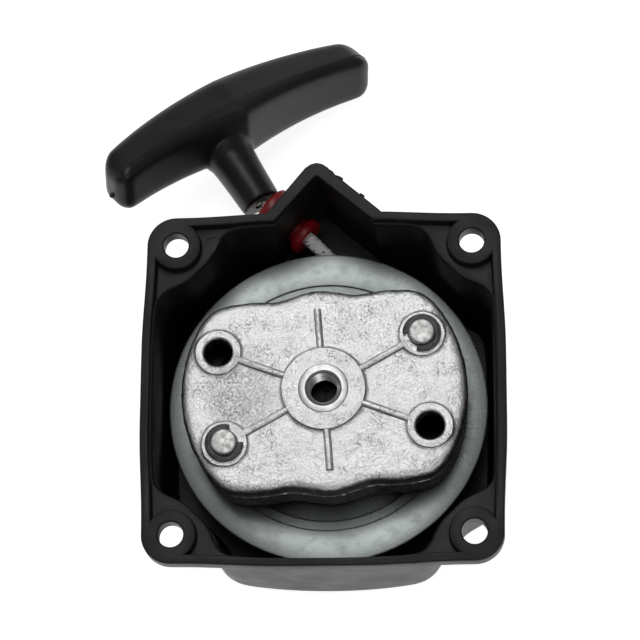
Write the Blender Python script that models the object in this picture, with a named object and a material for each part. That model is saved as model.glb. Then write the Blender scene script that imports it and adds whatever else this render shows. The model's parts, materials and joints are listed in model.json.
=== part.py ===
"""Recoil starter for a small two-stroke engine, lying on its closed end.

Frame: metres, +Z out of the open mouth towards the engine, +Y towards the rope outlet.
The origin is on the spool axis at the flat outside face of the closed end.
Sizes below are in millimetres and are turned into metres when a mesh is made.
"""

import math

import bmesh
import bpy
from mathutils import Matrix, Vector

# Housing
HEIGHT = 40.0
HALF_CORNER = 43.7
HALF_BULGE = 44.6
CORNER_R = 7.2
RIM = 2.4
SHELF_DROP = 2.8
EAR_BOTTOM = 35.4
WALL = 2.3
FLOOR = 2.6
HOLE_PITCH = 73.0
HOLE_R = 3.1
BOSS_R = 6.1
POST_R = 9.0
POST_TOP = 18.4

# Rope outlet
GUIDE_IN = Vector((-5.2, 45.0, 17.4))
GUIDE_ANGLE = math.radians(140.4)
GUIDE_LENGTH = 13.6
GUIDE_COLLAR_R = 6.2
GUIDE_INNER_R = 4.9
GUIDE_TUBE_R = 3.7
GUIDE_BORE_R = 2.1
ROPE_R = 1.5
WIND_Z = 15.5
WIND_OUT = 27.6
WIND_IN = 15.2
WIND_TURNS = 4.0

# Reel
REEL_R = 39.8
REEL_FACE = 20.4
RATCHET_R = 15.5
RATCHET_TOP = 30.0
RATCHET_NOTCHES = 8

# Rotor
ROTOR_TOP = 36.6
ROTOR_BOTTOM = 21.0
ROTOR_R = 35.1
ROTOR_HALF_WIDTH = 24.3
ROTOR_TURN = math.radians(4.6)
PIN_AT = (25.1, 11.6)
PIN_R = 3.2
PIN_HOLE_R = 3.42
CLIP_LOW = ROTOR_TOP + 1.1
PAWL_LENGTH = 16.6
PAWL_REST = math.radians(33.6)
PAWL_BORE_R = 2.6

# Handle
STEM_END = Vector((-17.4, 54.6, 17.6))
STEM_YAW = math.radians(122.0)
GRIP_CENTRE = Vector((-25.7, 78.0, 18.6))
GRIP_YAW = math.radians(132.0)
GRIP_PITCH = math.radians(-20.0)
GRIP_TWIST = math.radians(21.5)
GRIP_LENGTH = 79.8
GRIP_DEPTH = 16.6
GRIP_DEPTH_END = 10.8
GRIP_SAG = 7.2
GRIP_THICK = 16.8
GRIP_THICK_END = 13.0
GRIP_END_R = 4.8
STEM_LENGTH = 17.0
STEM_R = 5.25
STEM_ROOT_R = 6.6

SEGMENTS = 40


def clear_scene():
    for item in list(bpy.data.objects):
        bpy.data.objects.remove(item, do_unlink=True)


def material(name, colour, metallic, roughness):
    made = bpy.data.materials.new(name)
    made.use_nodes = True
    shader = made.node_tree.nodes["Principled BSDF"]
    shader.inputs["Base Color"].default_value = (*colour, 1.0)
    shader.inputs["Metallic"].default_value = metallic
    shader.inputs["Roughness"].default_value = roughness
    made.diffuse_color = (*colour, 1.0)
    return made


def add_object(name, mesh_data, slot=None, angle=32.0):
    """Turns a bmesh in millimetres into a named object in metres."""
    bmesh.ops.scale(mesh_data, vec=(0.001, 0.001, 0.001), verts=mesh_data.verts)
    mesh = bpy.data.meshes.new(name)
    mesh_data.to_mesh(mesh)
    mesh_data.free()
    mesh.shade_smooth()
    mesh.set_sharp_from_angle(angle=math.radians(angle))
    made = bpy.data.objects.new(name, mesh)
    bpy.context.scene.collection.objects.link(made)
    if slot is not None:
        mesh.materials.append(slot)
    return made


def loft(rings):
    """Closed body through rings of equal point counts, capped at both ends."""
    made = bmesh.new()
    rows = [[made.verts.new(point) for point in ring] for ring in rings]
    count = len(rows[0])
    for low, high in zip(rows, rows[1:]):
        for i in range(count):
            j = (i + 1) % count
            made.faces.new((low[i], low[j], high[j], high[i]))
    made.faces.new(list(reversed(rows[0])))
    made.faces.new(rows[-1])
    bmesh.ops.recalc_face_normals(made, faces=made.faces)
    return made


def ring_at(outline, height):
    return [Vector((x, y, height)) for x, y in outline]


def prism(outline, low, high):
    return loft([ring_at(outline, low), ring_at(outline, high)])


def circle(radius, count=SEGMENTS, centre=(0.0, 0.0), start=0.0):
    step = 2.0 * math.pi / count
    return [
        (
            centre[0] + radius * math.cos(start + step * i),
            centre[1] + radius * math.sin(start + step * i),
        )
        for i in range(count)
    ]


def cylinder(radius, low, high, centre=(0.0, 0.0), count=SEGMENTS):
    return prism(circle(radius, count, centre), low, high)


def lathe(profile, count=SEGMENTS):
    """Closed body of revolution about Z from a closed (radius, height) profile."""
    made = bmesh.new()
    rows = []
    for i in range(count):
        angle = 2.0 * math.pi * i / count
        rows.append(
            [
                made.verts.new((r * math.cos(angle), r * math.sin(angle), z))
                for r, z in profile
            ]
        )
    size = len(profile)
    for i in range(count):
        first = rows[i]
        second = rows[(i + 1) % count]
        for j in range(size):
            k = (j + 1) % size
            made.faces.new((first[j], second[j], second[k], first[k]))
    bmesh.ops.remove_doubles(made, verts=made.verts, dist=1e-5)
    bmesh.ops.recalc_face_normals(made, faces=made.faces)
    return made


def spindle(profile, count=SEGMENTS):
    """Solid of revolution from an open (radius, height) profile, capped at both ends."""
    return loft([ring_at(circle(r, count), z) for r, z in profile])


def tube(path, radius, sides=8):
    """Round bar swept along a path of points, with flat ends."""
    rings = []
    normal = None
    for i, point in enumerate(path):
        before = path[max(i - 1, 0)]
        after = path[min(i + 1, len(path) - 1)]
        along = (after - before).normalized()
        if normal is None:
            normal = along.orthogonal().normalized()
        normal = (normal - along * normal.dot(along)).normalized()
        side = along.cross(normal)
        size = radius[i] if isinstance(radius, list) else radius
        rings.append(
            [
                point + size * (math.cos(a) * normal + math.sin(a) * side)
                for a in (2.0 * math.pi * k / sides for k in range(sides))
            ]
        )
    return loft(rings)


def moved(mesh_data, matrix):
    bmesh.ops.transform(mesh_data, matrix=matrix, verts=mesh_data.verts)
    return mesh_data


def combine(base, others, operation):
    """Joins or cuts closed bodies and returns the new body."""
    first = add_object("work", base)
    for i, other in enumerate(others):
        second = add_object(f"tool_{i}", other)
        step = first.modifiers.new("step", "BOOLEAN")
        step.operation = operation
        step.solver = "EXACT"
        step.object = second
        graph = bpy.context.evaluated_depsgraph_get()
        result = bpy.data.meshes.new_from_object(first.evaluated_get(graph))
        first.modifiers.clear()
        first.data = result
        bpy.data.objects.remove(second, do_unlink=True)
    made = bmesh.new()
    made.from_mesh(first.data)
    bpy.data.objects.remove(first, do_unlink=True)
    bmesh.ops.scale(made, vec=(1000.0, 1000.0, 1000.0), verts=made.verts)
    bmesh.ops.remove_doubles(made, verts=made.verts, dist=1e-4)
    bmesh.ops.dissolve_degenerate(made, edges=made.edges, dist=1e-4)
    return made


def join(base, *others):
    return combine(base, others, "UNION")


def cut(base, *others):
    return combine(base, others, "DIFFERENCE")


def mirrored(quarter):
    """Whole outline from the quarter between +Y and +X, run round clockwise."""
    right = quarter + [(x, -y) for x, y in reversed(quarter[:-1])]
    left = [(-x, y) for x, y in reversed(right[1:-1])]
    return right + left


def scaled(outline, factor):
    return [(x * factor, y * factor) for x, y in outline]


def rounded(outline, mix):
    """Blends an outline part of the way to the circle that touches its sides."""
    made = []
    for x, y in outline:
        reach = math.hypot(x, y)
        ratio = 1.0 - mix + mix * (HALF_BULGE - 0.5) / reach
        made.append((x * ratio, y * ratio))
    return made


def flange_outline(inset):
    """Rounded square with slightly bulging sides; corners share the hole centres."""
    half = HOLE_PITCH / 2.0
    radius = CORNER_R - inset
    side = HALF_BULGE - inset
    corner = half + radius
    quarter = [(0.0, side), (12.0, side - 0.12), (24.0, (side + corner) / 2.0)]
    for i in range(7):
        angle = math.radians(90.0 - 15.0 * i)
        quarter.append(
            (half + radius * math.cos(angle), half + radius * math.sin(angle))
        )
    quarter += [((side + corner) / 2.0, 24.0), (side - 0.12, 12.0), (side, 0.0)]
    return mirrored(quarter)


def cup_outline(out=0.0):
    """Opening of the cup: a square whose corners step in round the screw bosses."""
    half = [
        (0.0, 41.9),
        (12.0, 41.8),
        (19.0, 41.5),
        (22.6, 41.1),
        (24.7, 39.9),
        (26.0, 38.0),
        (26.9, 35.8),
        (27.9, 33.9),
        (29.2, 32.3),
    ]
    quarter = half + [(30.8, 30.8)] + [(y, x) for x, y in reversed(half)]
    points = mirrored(quarter)
    if not out:
        return points
    grown = []
    count = len(points)
    for i, (x, y) in enumerate(points):
        ax, ay = points[i - 1]
        bx, by = points[(i + 1) % count]
        along = Vector((bx - ax, by - ay)).normalized()
        grown.append((x - along.y * out, y + along.x * out))
    return grown


def chevron(inset, low_y):
    """Pointed bump on the +Y side that carries the rope guide."""
    if inset:
        return [(-12.6, low_y), (-12.6, 41.9), (-1.8, 54.3), (12.6, 41.9), (12.6, low_y)]
    crown = [(-5.3, 55.4), (-3.9, 56.9), (-1.8, 57.6), (0.3, 56.9), (1.9, 55.3)]
    return [(-14.3, low_y), (-14.3, 44.3)] + crown + [(14.8, 44.0), (14.8, low_y)]


def corner_points():
    half = HOLE_PITCH / 2.0
    return [(sx * half, sy * half) for sx in (1, -1) for sy in (1, -1)]


def guide_frame(along):
    """Matrix that lays +Z along the rope guide, with its inner mouth at the origin."""
    direction = Vector((math.cos(GUIDE_ANGLE), math.sin(GUIDE_ANGLE), 0.0))
    turn = direction.to_track_quat("Z", "Y").to_matrix().to_4x4()
    return Matrix.Translation(GUIDE_IN + direction * along) @ turn


def make_housing(slot):
    outer = cup_outline(WALL)
    levels = (
        (1.0, 0.0, EAR_BOTTOM + 1.5),
        (0.985, 0.1, 9.0),
        (0.978, 0.22, 4.0),
        (0.962, 0.26, 1.6),
        (0.938, 0.28, 0.4),
        (0.915, 0.3, 0.0),
    )
    cup = loft([ring_at(scaled(rounded(outer, mix), s), z) for s, mix, z in levels])
    flange = prism(flange_outline(0.0), EAR_BOTTOM, HEIGHT)
    bump = loft(
        [
            ring_at([(x, y - drop) for x, y in chevron(0.0, 36.0)], z)
            for drop, z in ((2.0, 5.0), (0.6, 6.0), (0.0, 8.0), (0.0, HEIGHT))
        ]
    )
    body = join(cup, flange, bump)
    body = join(body, moved(cylinder(6.3, -4.5, 3.4, count=28), guide_frame(5.9)))
    pocket = prism(flange_outline(RIM), HEIGHT - SHELF_DROP, HEIGHT + 2.0)
    bosses = [cylinder(BOSS_R, 30.0, HEIGHT + 3.0, c, 32) for c in corner_points()]
    pocket = cut(pocket, *bosses)
    inner = cup_outline(0.0)
    hollow = loft(
        [
            ring_at(scaled(inner, s), z)
            for s, z in ((0.95, FLOOR), (0.972, FLOOR + 2.2), (1.0, EAR_BOTTOM), (1.0, 41.5))
        ]
    )
    notch = prism(chevron(1.0, 38.0), 8.0, HEIGHT + 1.5)
    body = cut(body, pocket, hollow, notch)
    post = spindle([(POST_R + 2.0, 1.5), (POST_R + 2.0, 3.4), (POST_R, 4.4), (POST_R, POST_TOP)])
    spokes = []
    for i in range(4):
        bar = prism([(-1.2, 0.0), (1.2, 0.0), (1.2, 35.0), (-1.2, 35.0)], 1.5, 3.3)
        spokes.append(moved(bar, Matrix.Rotation(math.radians(45.0 + 90.0 * i), 4, "Z")))
    body = join(body, post, *spokes)
    holes = [cylinder(HOLE_R, 30.0, HEIGHT + 1.0, c, 28) for c in corner_points()]
    bore = cylinder(3.3, 6.0, POST_TOP + 1.0, count=20)
    mouth = moved(cylinder(GUIDE_TUBE_R + 0.3, -3.0, 13.5, count=24), guide_frame(0.0))
    body = cut(body, *holes, bore, mouth)
    return add_object("housing", body, slot)


def make_guide(slot):
    end = GUIDE_LENGTH
    wide = GUIDE_COLLAR_R
    profile = [
        (GUIDE_BORE_R, 1.2),
        (GUIDE_BORE_R, end - 1.2),
        (GUIDE_BORE_R + 1.0, end - 0.1),
        (wide - 1.0, end),
        (wide - 0.25, end - 0.4),
        (wide, end - 1.2),
        (wide, end - 2.4),
        (wide - 0.5, end - 3.0),
        (GUIDE_TUBE_R, end - 3.0),
        (GUIDE_TUBE_R, 2.4),
        (GUIDE_INNER_R - 0.3, 2.4),
        (GUIDE_INNER_R, 2.1),
        (GUIDE_INNER_R, 0.7),
        (GUIDE_INNER_R - 0.6, 0.0),
        (GUIDE_BORE_R + 1.0, 0.1),
    ]
    return add_object("rope_guide", moved(lathe(profile, 28), guide_frame(0.0)), slot)


def make_reel(slot):
    profile = [
        (9.35, 5.0),
        (11.2, 5.0),
        (11.2, 11.2),
        (33.0, 11.6),
        (36.5, 11.6),
        (36.5, 12.8),
        (13.4, 13.2),
        (13.4, 17.4),
        (28.0, 17.4),
        (29.2, 18.9),
        (REEL_R - 0.4, 18.9),
        (REEL_R, 19.3),
        (REEL_R, REEL_FACE - 0.4),
        (REEL_R - 0.4, REEL_FACE),
        (31.7, REEL_FACE),
        (31.5, REEL_FACE - 0.5),
        (29.4, REEL_FACE - 0.5),
        (28.8, REEL_FACE - 1.9),
        (RATCHET_R, REEL_FACE - 1.9),
        (RATCHET_R, RATCHET_TOP - 0.4),
        (RATCHET_R - 0.4, RATCHET_TOP),
        (12.6, RATCHET_TOP),
        (12.6, 18.9),
        (9.35, 18.9),
    ]
    body = lathe(profile, 60)
    notches = []
    for i in range(RATCHET_NOTCHES):
        shape = [(13.2, -0.1), (17.0, -0.8), (17.0, 7.2), (14.6, 6.2), (13.2, 2.6)]
        notch = prism(shape, REEL_FACE + 0.4, RATCHET_TOP + 1.0)
        turn = math.radians(360.0 / RATCHET_NOTCHES * i - 4.8)
        notches.append(moved(notch, Matrix.Rotation(turn, 4, "Z")))
    turn = Matrix.Rotation(math.radians(44.4 + 180.0), 4, "Z")
    hole = moved(cylinder(1.8, 10.0, 14.0, (18.6, 0.0), 12), turn)
    body = cut(body, *notches, hole)
    return add_object("rope_reel", body, slot)


def rotor_outline(inset):
    """Disc with two flats; each flat has a small swell in the middle and rounded corners."""
    points = []
    for i in range(76):
        angle = 2.0 * math.pi * (i + 0.5) / 76.0
        c = math.cos(angle)
        s = math.sin(angle)
        x = ROTOR_HALF_WIDTH * c / max(abs(s), 0.2)
        swell = 1.4 * math.exp(-((x / 5.5) ** 2))
        dip = 0.5 * math.exp(-(((abs(x) - 10.5) / 3.5) ** 2))
        flat = (ROTOR_HALF_WIDTH - inset + swell - dip) / max(abs(s), 1e-3)
        reach = ((1.0 / flat) ** 18 + (1.0 / (ROTOR_R - inset)) ** 18) ** (-1.0 / 18.0)
        points.append((reach * c, reach * s))
    return points


def pin_points():
    x, y = PIN_AT
    return [(x, y), (-x, -y)], [(-x, y), (x, -y)]


def turned(mesh_data, angle=ROTOR_TURN):
    return moved(mesh_data, Matrix.Rotation(angle, 4, "Z"))


def make_rotor(slot):
    top = ROTOR_TOP
    low = ROTOR_BOTTOM
    levels = (
        (0.6, low),
        (0.3, low + 0.3),
        (0.3, 29.5),
        (1.3, 29.8),
        (1.3, 30.3),
        (0.1, 30.6),
        (0.0, top - 2.6),
        (0.35, top - 1.3),
        (1.1, top - 0.5),
        (2.4, top),
    )
    body = loft([ring_at(rotor_outline(d), z) for d, z in levels])
    hollow = loft([ring_at(rotor_outline(2.9), z) for z in (low - 1.0, top - 3.4)])
    body = cut(body, hollow)
    pinned, open_pair = pin_points()
    extras = [spindle([(10.3, 31.4), (10.3, top + 0.6), (9.9, top + 1.1)], 48)]
    for centre in pinned + open_pair:
        boss = spindle([(5.5, top - 2.0), (5.5, top + 0.5), (5.2, top + 0.8)], 28)
        extras.append(moved(boss, Matrix.Translation((*centre, 0.0))))
    for side in (1, -1):
        rib = [(-0.7, 8.0 * side), (0.7, 8.0 * side), (0.7, 20.4 * side), (-0.7, 20.4 * side)]
        extras.append(rib_bar(rib, side))
    for centre in pinned + open_pair:
        extras.append(rib_between(centre))
    body = join(body, *extras)
    tools = [cylinder(PIN_HOLE_R, low - 1.0, top + 4.0, c, 28) for c in pinned + open_pair]
    tools.append(cylinder(6.4, 28.0, top + 4.0, count=32))
    return add_object("rotor", turned(cut(body, *tools)), slot)


def rib_bar(corners, side):
    top = ROTOR_TOP
    ordered = corners if side > 0 else list(reversed(corners))
    narrow = [(x * 0.7, y) for x, y in ordered]
    return loft([ring_at(ordered, top - 1.6), ring_at(ordered, top + 0.45), ring_at(narrow, top + 0.8)])


def rib_between(centre):
    span = math.hypot(*centre)
    bar = rib_bar([(-0.7, 8.5), (0.7, 8.5), (0.7, span - 4.4), (-0.7, span - 4.4)], 1)
    angle = math.atan2(centre[1], centre[0]) - math.pi / 2.0
    return moved(bar, Matrix.Rotation(angle, 4, "Z"))


def make_insert(slot):
    top = ROTOR_TOP + 1.4
    profile = [
        (3.38, 31.5),
        (6.1, 31.5),
        (6.1, top - 0.3),
        (5.8, top),
        (4.25, top),
        (3.38, top - 0.9),
    ]
    return add_object("crank_thread_insert", turned(lathe(profile, 32)), slot)


def hull(outline_points):
    """Convex outline round a set of points."""
    points = sorted(set(outline_points))

    def half(sequence):
        chain = []
        for p in sequence:
            while len(chain) >= 2:
                (ax, ay), (bx, by) = chain[-2], chain[-1]
                if (bx - ax) * (p[1] - ay) - (by - ay) * (p[0] - ax) > 0:
                    break
                chain.pop()
            chain.append(p)
        return chain[:-1]

    return half(points) + half(reversed(points))


def pawl_side(index):
    return Matrix.Rotation(ROTOR_TURN + math.pi * index, 4, "Z")


def make_pawl(index, slot):
    x, y = PIN_AT
    heading = math.atan2(-y, -x) + PAWL_REST
    tip = (x + PAWL_LENGTH * math.cos(heading), y + PAWL_LENGTH * math.sin(heading))
    shape = hull(circle(4.4, 28, (x, y)) + circle(0.8, 10, tip))
    body = cut(prism(shape, 26.0, 30.0), cylinder(PAWL_BORE_R, 25.0, 31.0, (x, y), 24))
    return add_object(f"pawl_{index + 1}", moved(body, pawl_side(index)), slot)


def make_pin(index, slot):
    profile = [
        (3.8, 24.3),
        (4.1, 24.6),
        (4.1, 25.6),
        (PAWL_BORE_R - 0.2, 25.6),
        (PAWL_BORE_R - 0.2, 30.2),
        (PIN_R, 30.2),
        (PIN_R, CLIP_LOW - 0.15),
        (2.5, CLIP_LOW - 0.15),
        (2.5, CLIP_LOW + 0.9),
        (PIN_R, CLIP_LOW + 0.9),
        (PIN_R, CLIP_LOW + 1.6),
        (PIN_R - 0.5, CLIP_LOW + 2.0),
    ]
    place = pawl_side(index) @ Matrix.Translation((*PIN_AT, 0.0))
    return add_object(f"pawl_pin_{index + 1}", moved(spindle(profile, 28), place), slot)


def make_clip(index, slot):
    """Open retaining ring: two jaws, with the mouth facing the hub."""
    outer = []
    inner = []
    count = 22
    gap = math.radians(38.0)
    for i in range(count + 1):
        a = gap + (2.0 * math.pi - 2.0 * gap) * i / count
        outer.append((4.7 * math.cos(a), 4.7 * math.sin(a)))
        inner.append((2.85 * math.cos(a), 2.85 * math.sin(a)))
    shape = outer + list(reversed(inner))
    heading = math.radians(213.0)
    place = pawl_side(index) @ Matrix.Translation((*PIN_AT, 0.0)) @ Matrix.Rotation(heading, 4, "Z")
    body = moved(prism(shape, CLIP_LOW, CLIP_LOW + 0.75), place)
    return add_object(f"pawl_clip_{index + 1}", body, slot)


def make_pawl_spring(index, slot):
    """Torsion spring round the pin, one leg on the pawl and one on the casting."""
    coil = []
    turns = 1.75
    steps = 28
    for i in range(steps + 1):
        a = 2.0 * math.pi * turns * i / steps
        coil.append(Vector((3.9 * math.cos(a), 3.9 * math.sin(a), 30.7 + 0.72 * turns * i / steps)))
    start = coil[0] + Vector((0.0, -4.0, 0.0))
    end = coil[-1] + Vector((-4.0, 0.0, 0.0))
    place = pawl_side(index) @ Matrix.Translation((*PIN_AT, 0.0))
    body = moved(tube([start] + coil + [end], 0.32, 6), place)
    return add_object(f"pawl_spring_{index + 1}", body, slot)


def make_spring_case(slot):
    profile = [
        (11.8, 3.7),
        (31.0, 3.7),
        (31.0, 10.6),
        (30.2, 10.6),
        (30.2, 4.5),
        (11.8, 4.5),
    ]
    return add_object("spring_case", lathe(profile, 48), slot)


def make_recoil_spring(slot):
    """Flat strip wound as a spiral, with a short hook at each end."""
    turns = 5.0
    steps = 130
    thick = 0.45
    inner = []
    outer = []
    for i in range(steps + 1):
        t = i / steps
        a = 2.0 * math.pi * turns * t
        r = 12.2 + (29.2 - 12.2) * t ** 1.25
        inner.append((r * math.cos(a), r * math.sin(a)))
        outer.append(((r + thick) * math.cos(a), (r + thick) * math.sin(a)))
    shape = outer + list(reversed(inner))
    return add_object("recoil_spring", prism(shape, 4.9, 10.4), slot)


def make_retainers(steel, dark):
    washer = lathe([(3.4, 19.3), (11.8, 19.3), (11.8, 20.3), (3.4, 20.3)], 36)
    add_object("reel_washer", washer, steel)
    shank = spindle([(2.9, 7.0), (2.9, 20.7), (5.9, 20.7), (6.1, 21.2), (6.1, 22.6), (4.6, 24.0)], 28)
    slots = [
        prism([(-3.2, -0.55), (3.2, -0.55), (3.2, 0.55), (-3.2, 0.55)], 22.4, 25.0),
        prism([(-0.55, -3.2), (0.55, -3.2), (0.55, 3.2), (-0.55, 3.2)], 22.4, 25.0),
    ]
    add_object("reel_screw", cut(shank, *slots), dark)


def tangent_point():
    """Where the straight rope leaves the winding on its way to the guide."""
    reach = math.hypot(GUIDE_IN.x, GUIDE_IN.y)
    bearing = math.atan2(GUIDE_IN.y, GUIDE_IN.x)
    angle = bearing - math.acos(WIND_OUT / reach)
    return angle, Vector((WIND_OUT * math.cos(angle), WIND_OUT * math.sin(angle), WIND_Z))


def make_winding(slot):
    angle, _ = tangent_point()
    path = []
    steps = 96
    for i in range(steps + 1):
        t = i / steps
        a = angle - 0.02 - 2.0 * math.pi * WIND_TURNS * (1.0 - t)
        r = WIND_IN + (WIND_OUT - WIND_IN) * t
        path.append(Vector((r * math.cos(a), r * math.sin(a), WIND_Z)))
    return add_object("rope_winding", tube(path, ROPE_R, 7), slot)


def frame_of(yaw, pitch, twist, origin):
    """Local X along the grip bar, Y outwards from the stem, Z across the thickness."""
    out = Vector(
        (
            math.cos(yaw) * math.cos(pitch),
            math.sin(yaw) * math.cos(pitch),
            math.sin(pitch),
        )
    )
    level = Vector((math.sin(yaw), -math.cos(yaw), 0.0))
    up = level.cross(out)
    bar = level * math.cos(twist) - up * math.sin(twist)
    turn = Matrix((bar, out, bar.cross(out))).transposed().to_4x4()
    return Matrix.Translation(origin) @ turn


def stem_frame():
    return frame_of(STEM_YAW, 0.0, GRIP_TWIST, STEM_END)


def grip_frame():
    return frame_of(GRIP_YAW, GRIP_PITCH, GRIP_TWIST, GRIP_CENTRE)


def make_rope_run(slot):
    _, start = tangent_point()
    along = Vector((math.cos(GUIDE_ANGLE), math.sin(GUIDE_ANGLE), 0.0))
    mouth = GUIDE_IN.copy()
    first = (mouth - start).normalized()
    points = [
        start + first * 1.2,
        start.lerp(mouth, 0.5),
        mouth - first * 2.0,
        mouth + along * 2.0,
        mouth + along * (GUIDE_LENGTH - 2.0),
        stem_frame() @ Vector((0.0, -0.5, 0.0)),
    ]
    return add_object("rope_run", tube(points, ROPE_R, 12), slot)


def grip_ring(x, sides=24):
    """Rounded-box section of the grip bar: the back bows out and the inner side dips."""
    half = GRIP_LENGTH / 2.0
    u = abs(x) / half
    edge = GRIP_END_R
    over = max(0.0, (abs(x) - (half - edge)) / edge)
    shrink = edge * (1.0 - math.sqrt(max(0.0, 1.0 - over * over))) * 0.9
    back = GRIP_DEPTH / 2.0 - GRIP_SAG * u * u
    depth = GRIP_DEPTH_END + (GRIP_DEPTH - GRIP_DEPTH_END) * (1.0 - u) ** 1.3
    half_depth = depth / 2.0 - shrink
    half_thick = (GRIP_THICK + (GRIP_THICK_END - GRIP_THICK) * u) / 2.0 - shrink
    centre = back - depth / 2.0
    points = []
    for i in range(sides):
        a = 2.0 * math.pi * (i + 0.5) / sides
        c = math.copysign(abs(math.cos(a)) ** 0.45, math.cos(a))
        s = math.copysign(abs(math.sin(a)) ** 0.45, math.sin(a))
        points.append(Vector((x, centre + half_depth * c, half_thick * s)))
    return points


def make_handle(slot):
    half = GRIP_LENGTH / 2.0
    cap = [half - GRIP_END_R * (1.0 - math.sin(math.radians(a))) for a in (90, 66, 44, 24, 8)]
    inner = [half * t for t in (0.84, 0.68, 0.51, 0.34, 0.17)]
    right = cap + inner
    xs = right + [0.0] + [-x for x in reversed(right)]
    bar = moved(loft([grip_ring(x) for x in xs]), grip_frame())
    root = STEM_LENGTH
    stem_profile = [
        (STEM_R - 0.5, 0.0),
        (STEM_R, 0.5),
        (STEM_R + 0.4, root * 0.45),
        (STEM_ROOT_R - 0.5, root * 0.72),
        (STEM_ROOT_R + 0.6, root * 0.9),
        (STEM_ROOT_R + 1.0, root + 4.0),
    ]
    lay = Matrix.Rotation(math.radians(-90.0), 4, "X")
    stem = moved(spindle(stem_profile, 28), stem_frame() @ lay)
    body = join(bar, stem)
    bore = moved(cylinder(ROPE_R + 0.4, -2.0, root + 12.0, count=16), stem_frame() @ lay)
    pocket = moved(cylinder(4.6, root + 3.6, root + 30.0, count=24), stem_frame() @ lay)
    body = cut(body, bore, pocket)
    return add_object("handle_grip", body, slot)


def make_handle_rope(rope, steel):
    root = STEM_LENGTH
    frame = stem_frame()
    path = [Vector((0.0, y, 0.0)) for y in (0.4, root * 0.5, root + 5.2)]
    add_object("rope_in_handle", moved(tube(path, ROPE_R, 12), frame), rope)
    washer = lathe([(1.8, root + 3.9), (4.2, root + 3.9), (4.2, root + 4.7), (1.8, root + 4.7)], 20)
    lay = Matrix.Rotation(math.radians(-90.0), 4, "X")
    add_object("knot_washer", moved(washer, frame @ lay), steel)
    add_object("handle_knot", moved(knot(root + 8.6), frame), rope)


def knot(height):
    """Pulled-tight stopper knot: a lump with three bulges where the strands cross."""
    rings = []
    levels = ((-2.9, 1.5), (-2.6, 2.3), (-1.6, 3.1), (-0.3, 3.45), (1.0, 3.2), (2.0, 2.4), (2.5, 1.3))
    for rise, reach in levels:
        ring = []
        for i in range(24):
            a = 2.0 * math.pi * i / 24
            r = reach * (1.0 + 0.1 * math.cos(3.0 * a + rise))
            ring.append(Vector((r * math.cos(a), height + rise, r * math.sin(a))))
        rings.append(ring)
    return loft(rings)


def main():
    clear_scene()
    plastic = material("housing_plastic", (0.02, 0.02, 0.021), 0.0, 0.45)
    grip = material("handle_plastic", (0.018, 0.018, 0.019), 0.0, 0.38)
    red = material("guide_plastic", (0.28, 0.012, 0.015), 0.0, 0.35)
    reel_metal = material("reel_metal", (0.42, 0.45, 0.43), 0.9, 0.4)
    cast = material("cast_metal", (0.75, 0.75, 0.76), 1.0, 0.35)
    steel = material("pin_steel", (0.5, 0.5, 0.5), 1.0, 0.35)
    dark = material("phosphate_steel", (0.09, 0.09, 0.095), 0.8, 0.5)
    spring = material("spring_steel", (0.3, 0.31, 0.33), 1.0, 0.3)
    braid = material("rope_braid", (0.72, 0.71, 0.68), 0.0, 0.75)
    make_housing(plastic)
    make_guide(red)
    make_reel(reel_metal)
    make_rotor(cast)
    make_insert(steel)
    for index in (0, 1):
        make_pawl(index, dark)
        make_pin(index, steel)
        make_clip(index, dark)
        make_pawl_spring(index, spring)
    make_spring_case(steel)
    make_recoil_spring(spring)
    make_retainers(steel, dark)
    make_winding(braid)
    make_rope_run(braid)
    make_handle(grip)
    make_handle_rope(braid, steel)


main()
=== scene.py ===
"""Recoil starter for a small two-stroke engine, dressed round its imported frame.

The frame is in metres with +Z out of the open mouth. Every outline, radius and height below is
in millimetres and becomes metres when a piece is finished.
"""

import json
import logging
import math
from collections.abc import Callable, Sequence
from dataclasses import dataclass, field
from enum import Enum

import bmesh
import bpy
from mathutils import Matrix, Vector, noise

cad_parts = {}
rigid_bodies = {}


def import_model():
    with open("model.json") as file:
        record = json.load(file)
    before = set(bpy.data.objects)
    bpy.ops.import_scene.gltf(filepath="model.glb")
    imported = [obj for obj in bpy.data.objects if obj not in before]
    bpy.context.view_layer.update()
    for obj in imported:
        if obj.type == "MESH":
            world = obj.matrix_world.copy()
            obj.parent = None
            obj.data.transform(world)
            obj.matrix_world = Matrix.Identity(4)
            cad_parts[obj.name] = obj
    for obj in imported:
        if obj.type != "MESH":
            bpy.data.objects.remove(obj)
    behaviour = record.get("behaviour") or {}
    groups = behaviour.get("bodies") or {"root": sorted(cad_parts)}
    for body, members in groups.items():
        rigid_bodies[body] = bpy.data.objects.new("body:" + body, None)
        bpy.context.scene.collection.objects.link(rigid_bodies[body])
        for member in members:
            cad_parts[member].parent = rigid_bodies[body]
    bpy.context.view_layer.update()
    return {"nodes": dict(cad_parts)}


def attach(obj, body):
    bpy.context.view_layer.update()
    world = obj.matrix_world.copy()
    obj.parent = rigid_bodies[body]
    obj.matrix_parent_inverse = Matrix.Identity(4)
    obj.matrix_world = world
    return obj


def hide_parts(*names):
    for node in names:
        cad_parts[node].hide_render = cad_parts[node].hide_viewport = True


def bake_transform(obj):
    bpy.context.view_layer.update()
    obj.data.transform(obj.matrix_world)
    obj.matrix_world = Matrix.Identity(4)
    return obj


LOG = logging.getLogger("recoil_starter")
METRES = 0.001
FULL_TURN = 2.0 * math.pi

Outline = list[tuple[float, float]]
Colour = tuple[float, float, float]


class Body(Enum):
    """Bodies of the frame that pieces ride on."""

    HOUSING = "housing_body"
    REEL = "reel_body"
    ROTOR = "rotor_body"
    HANDLE = "handle_body"


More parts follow.
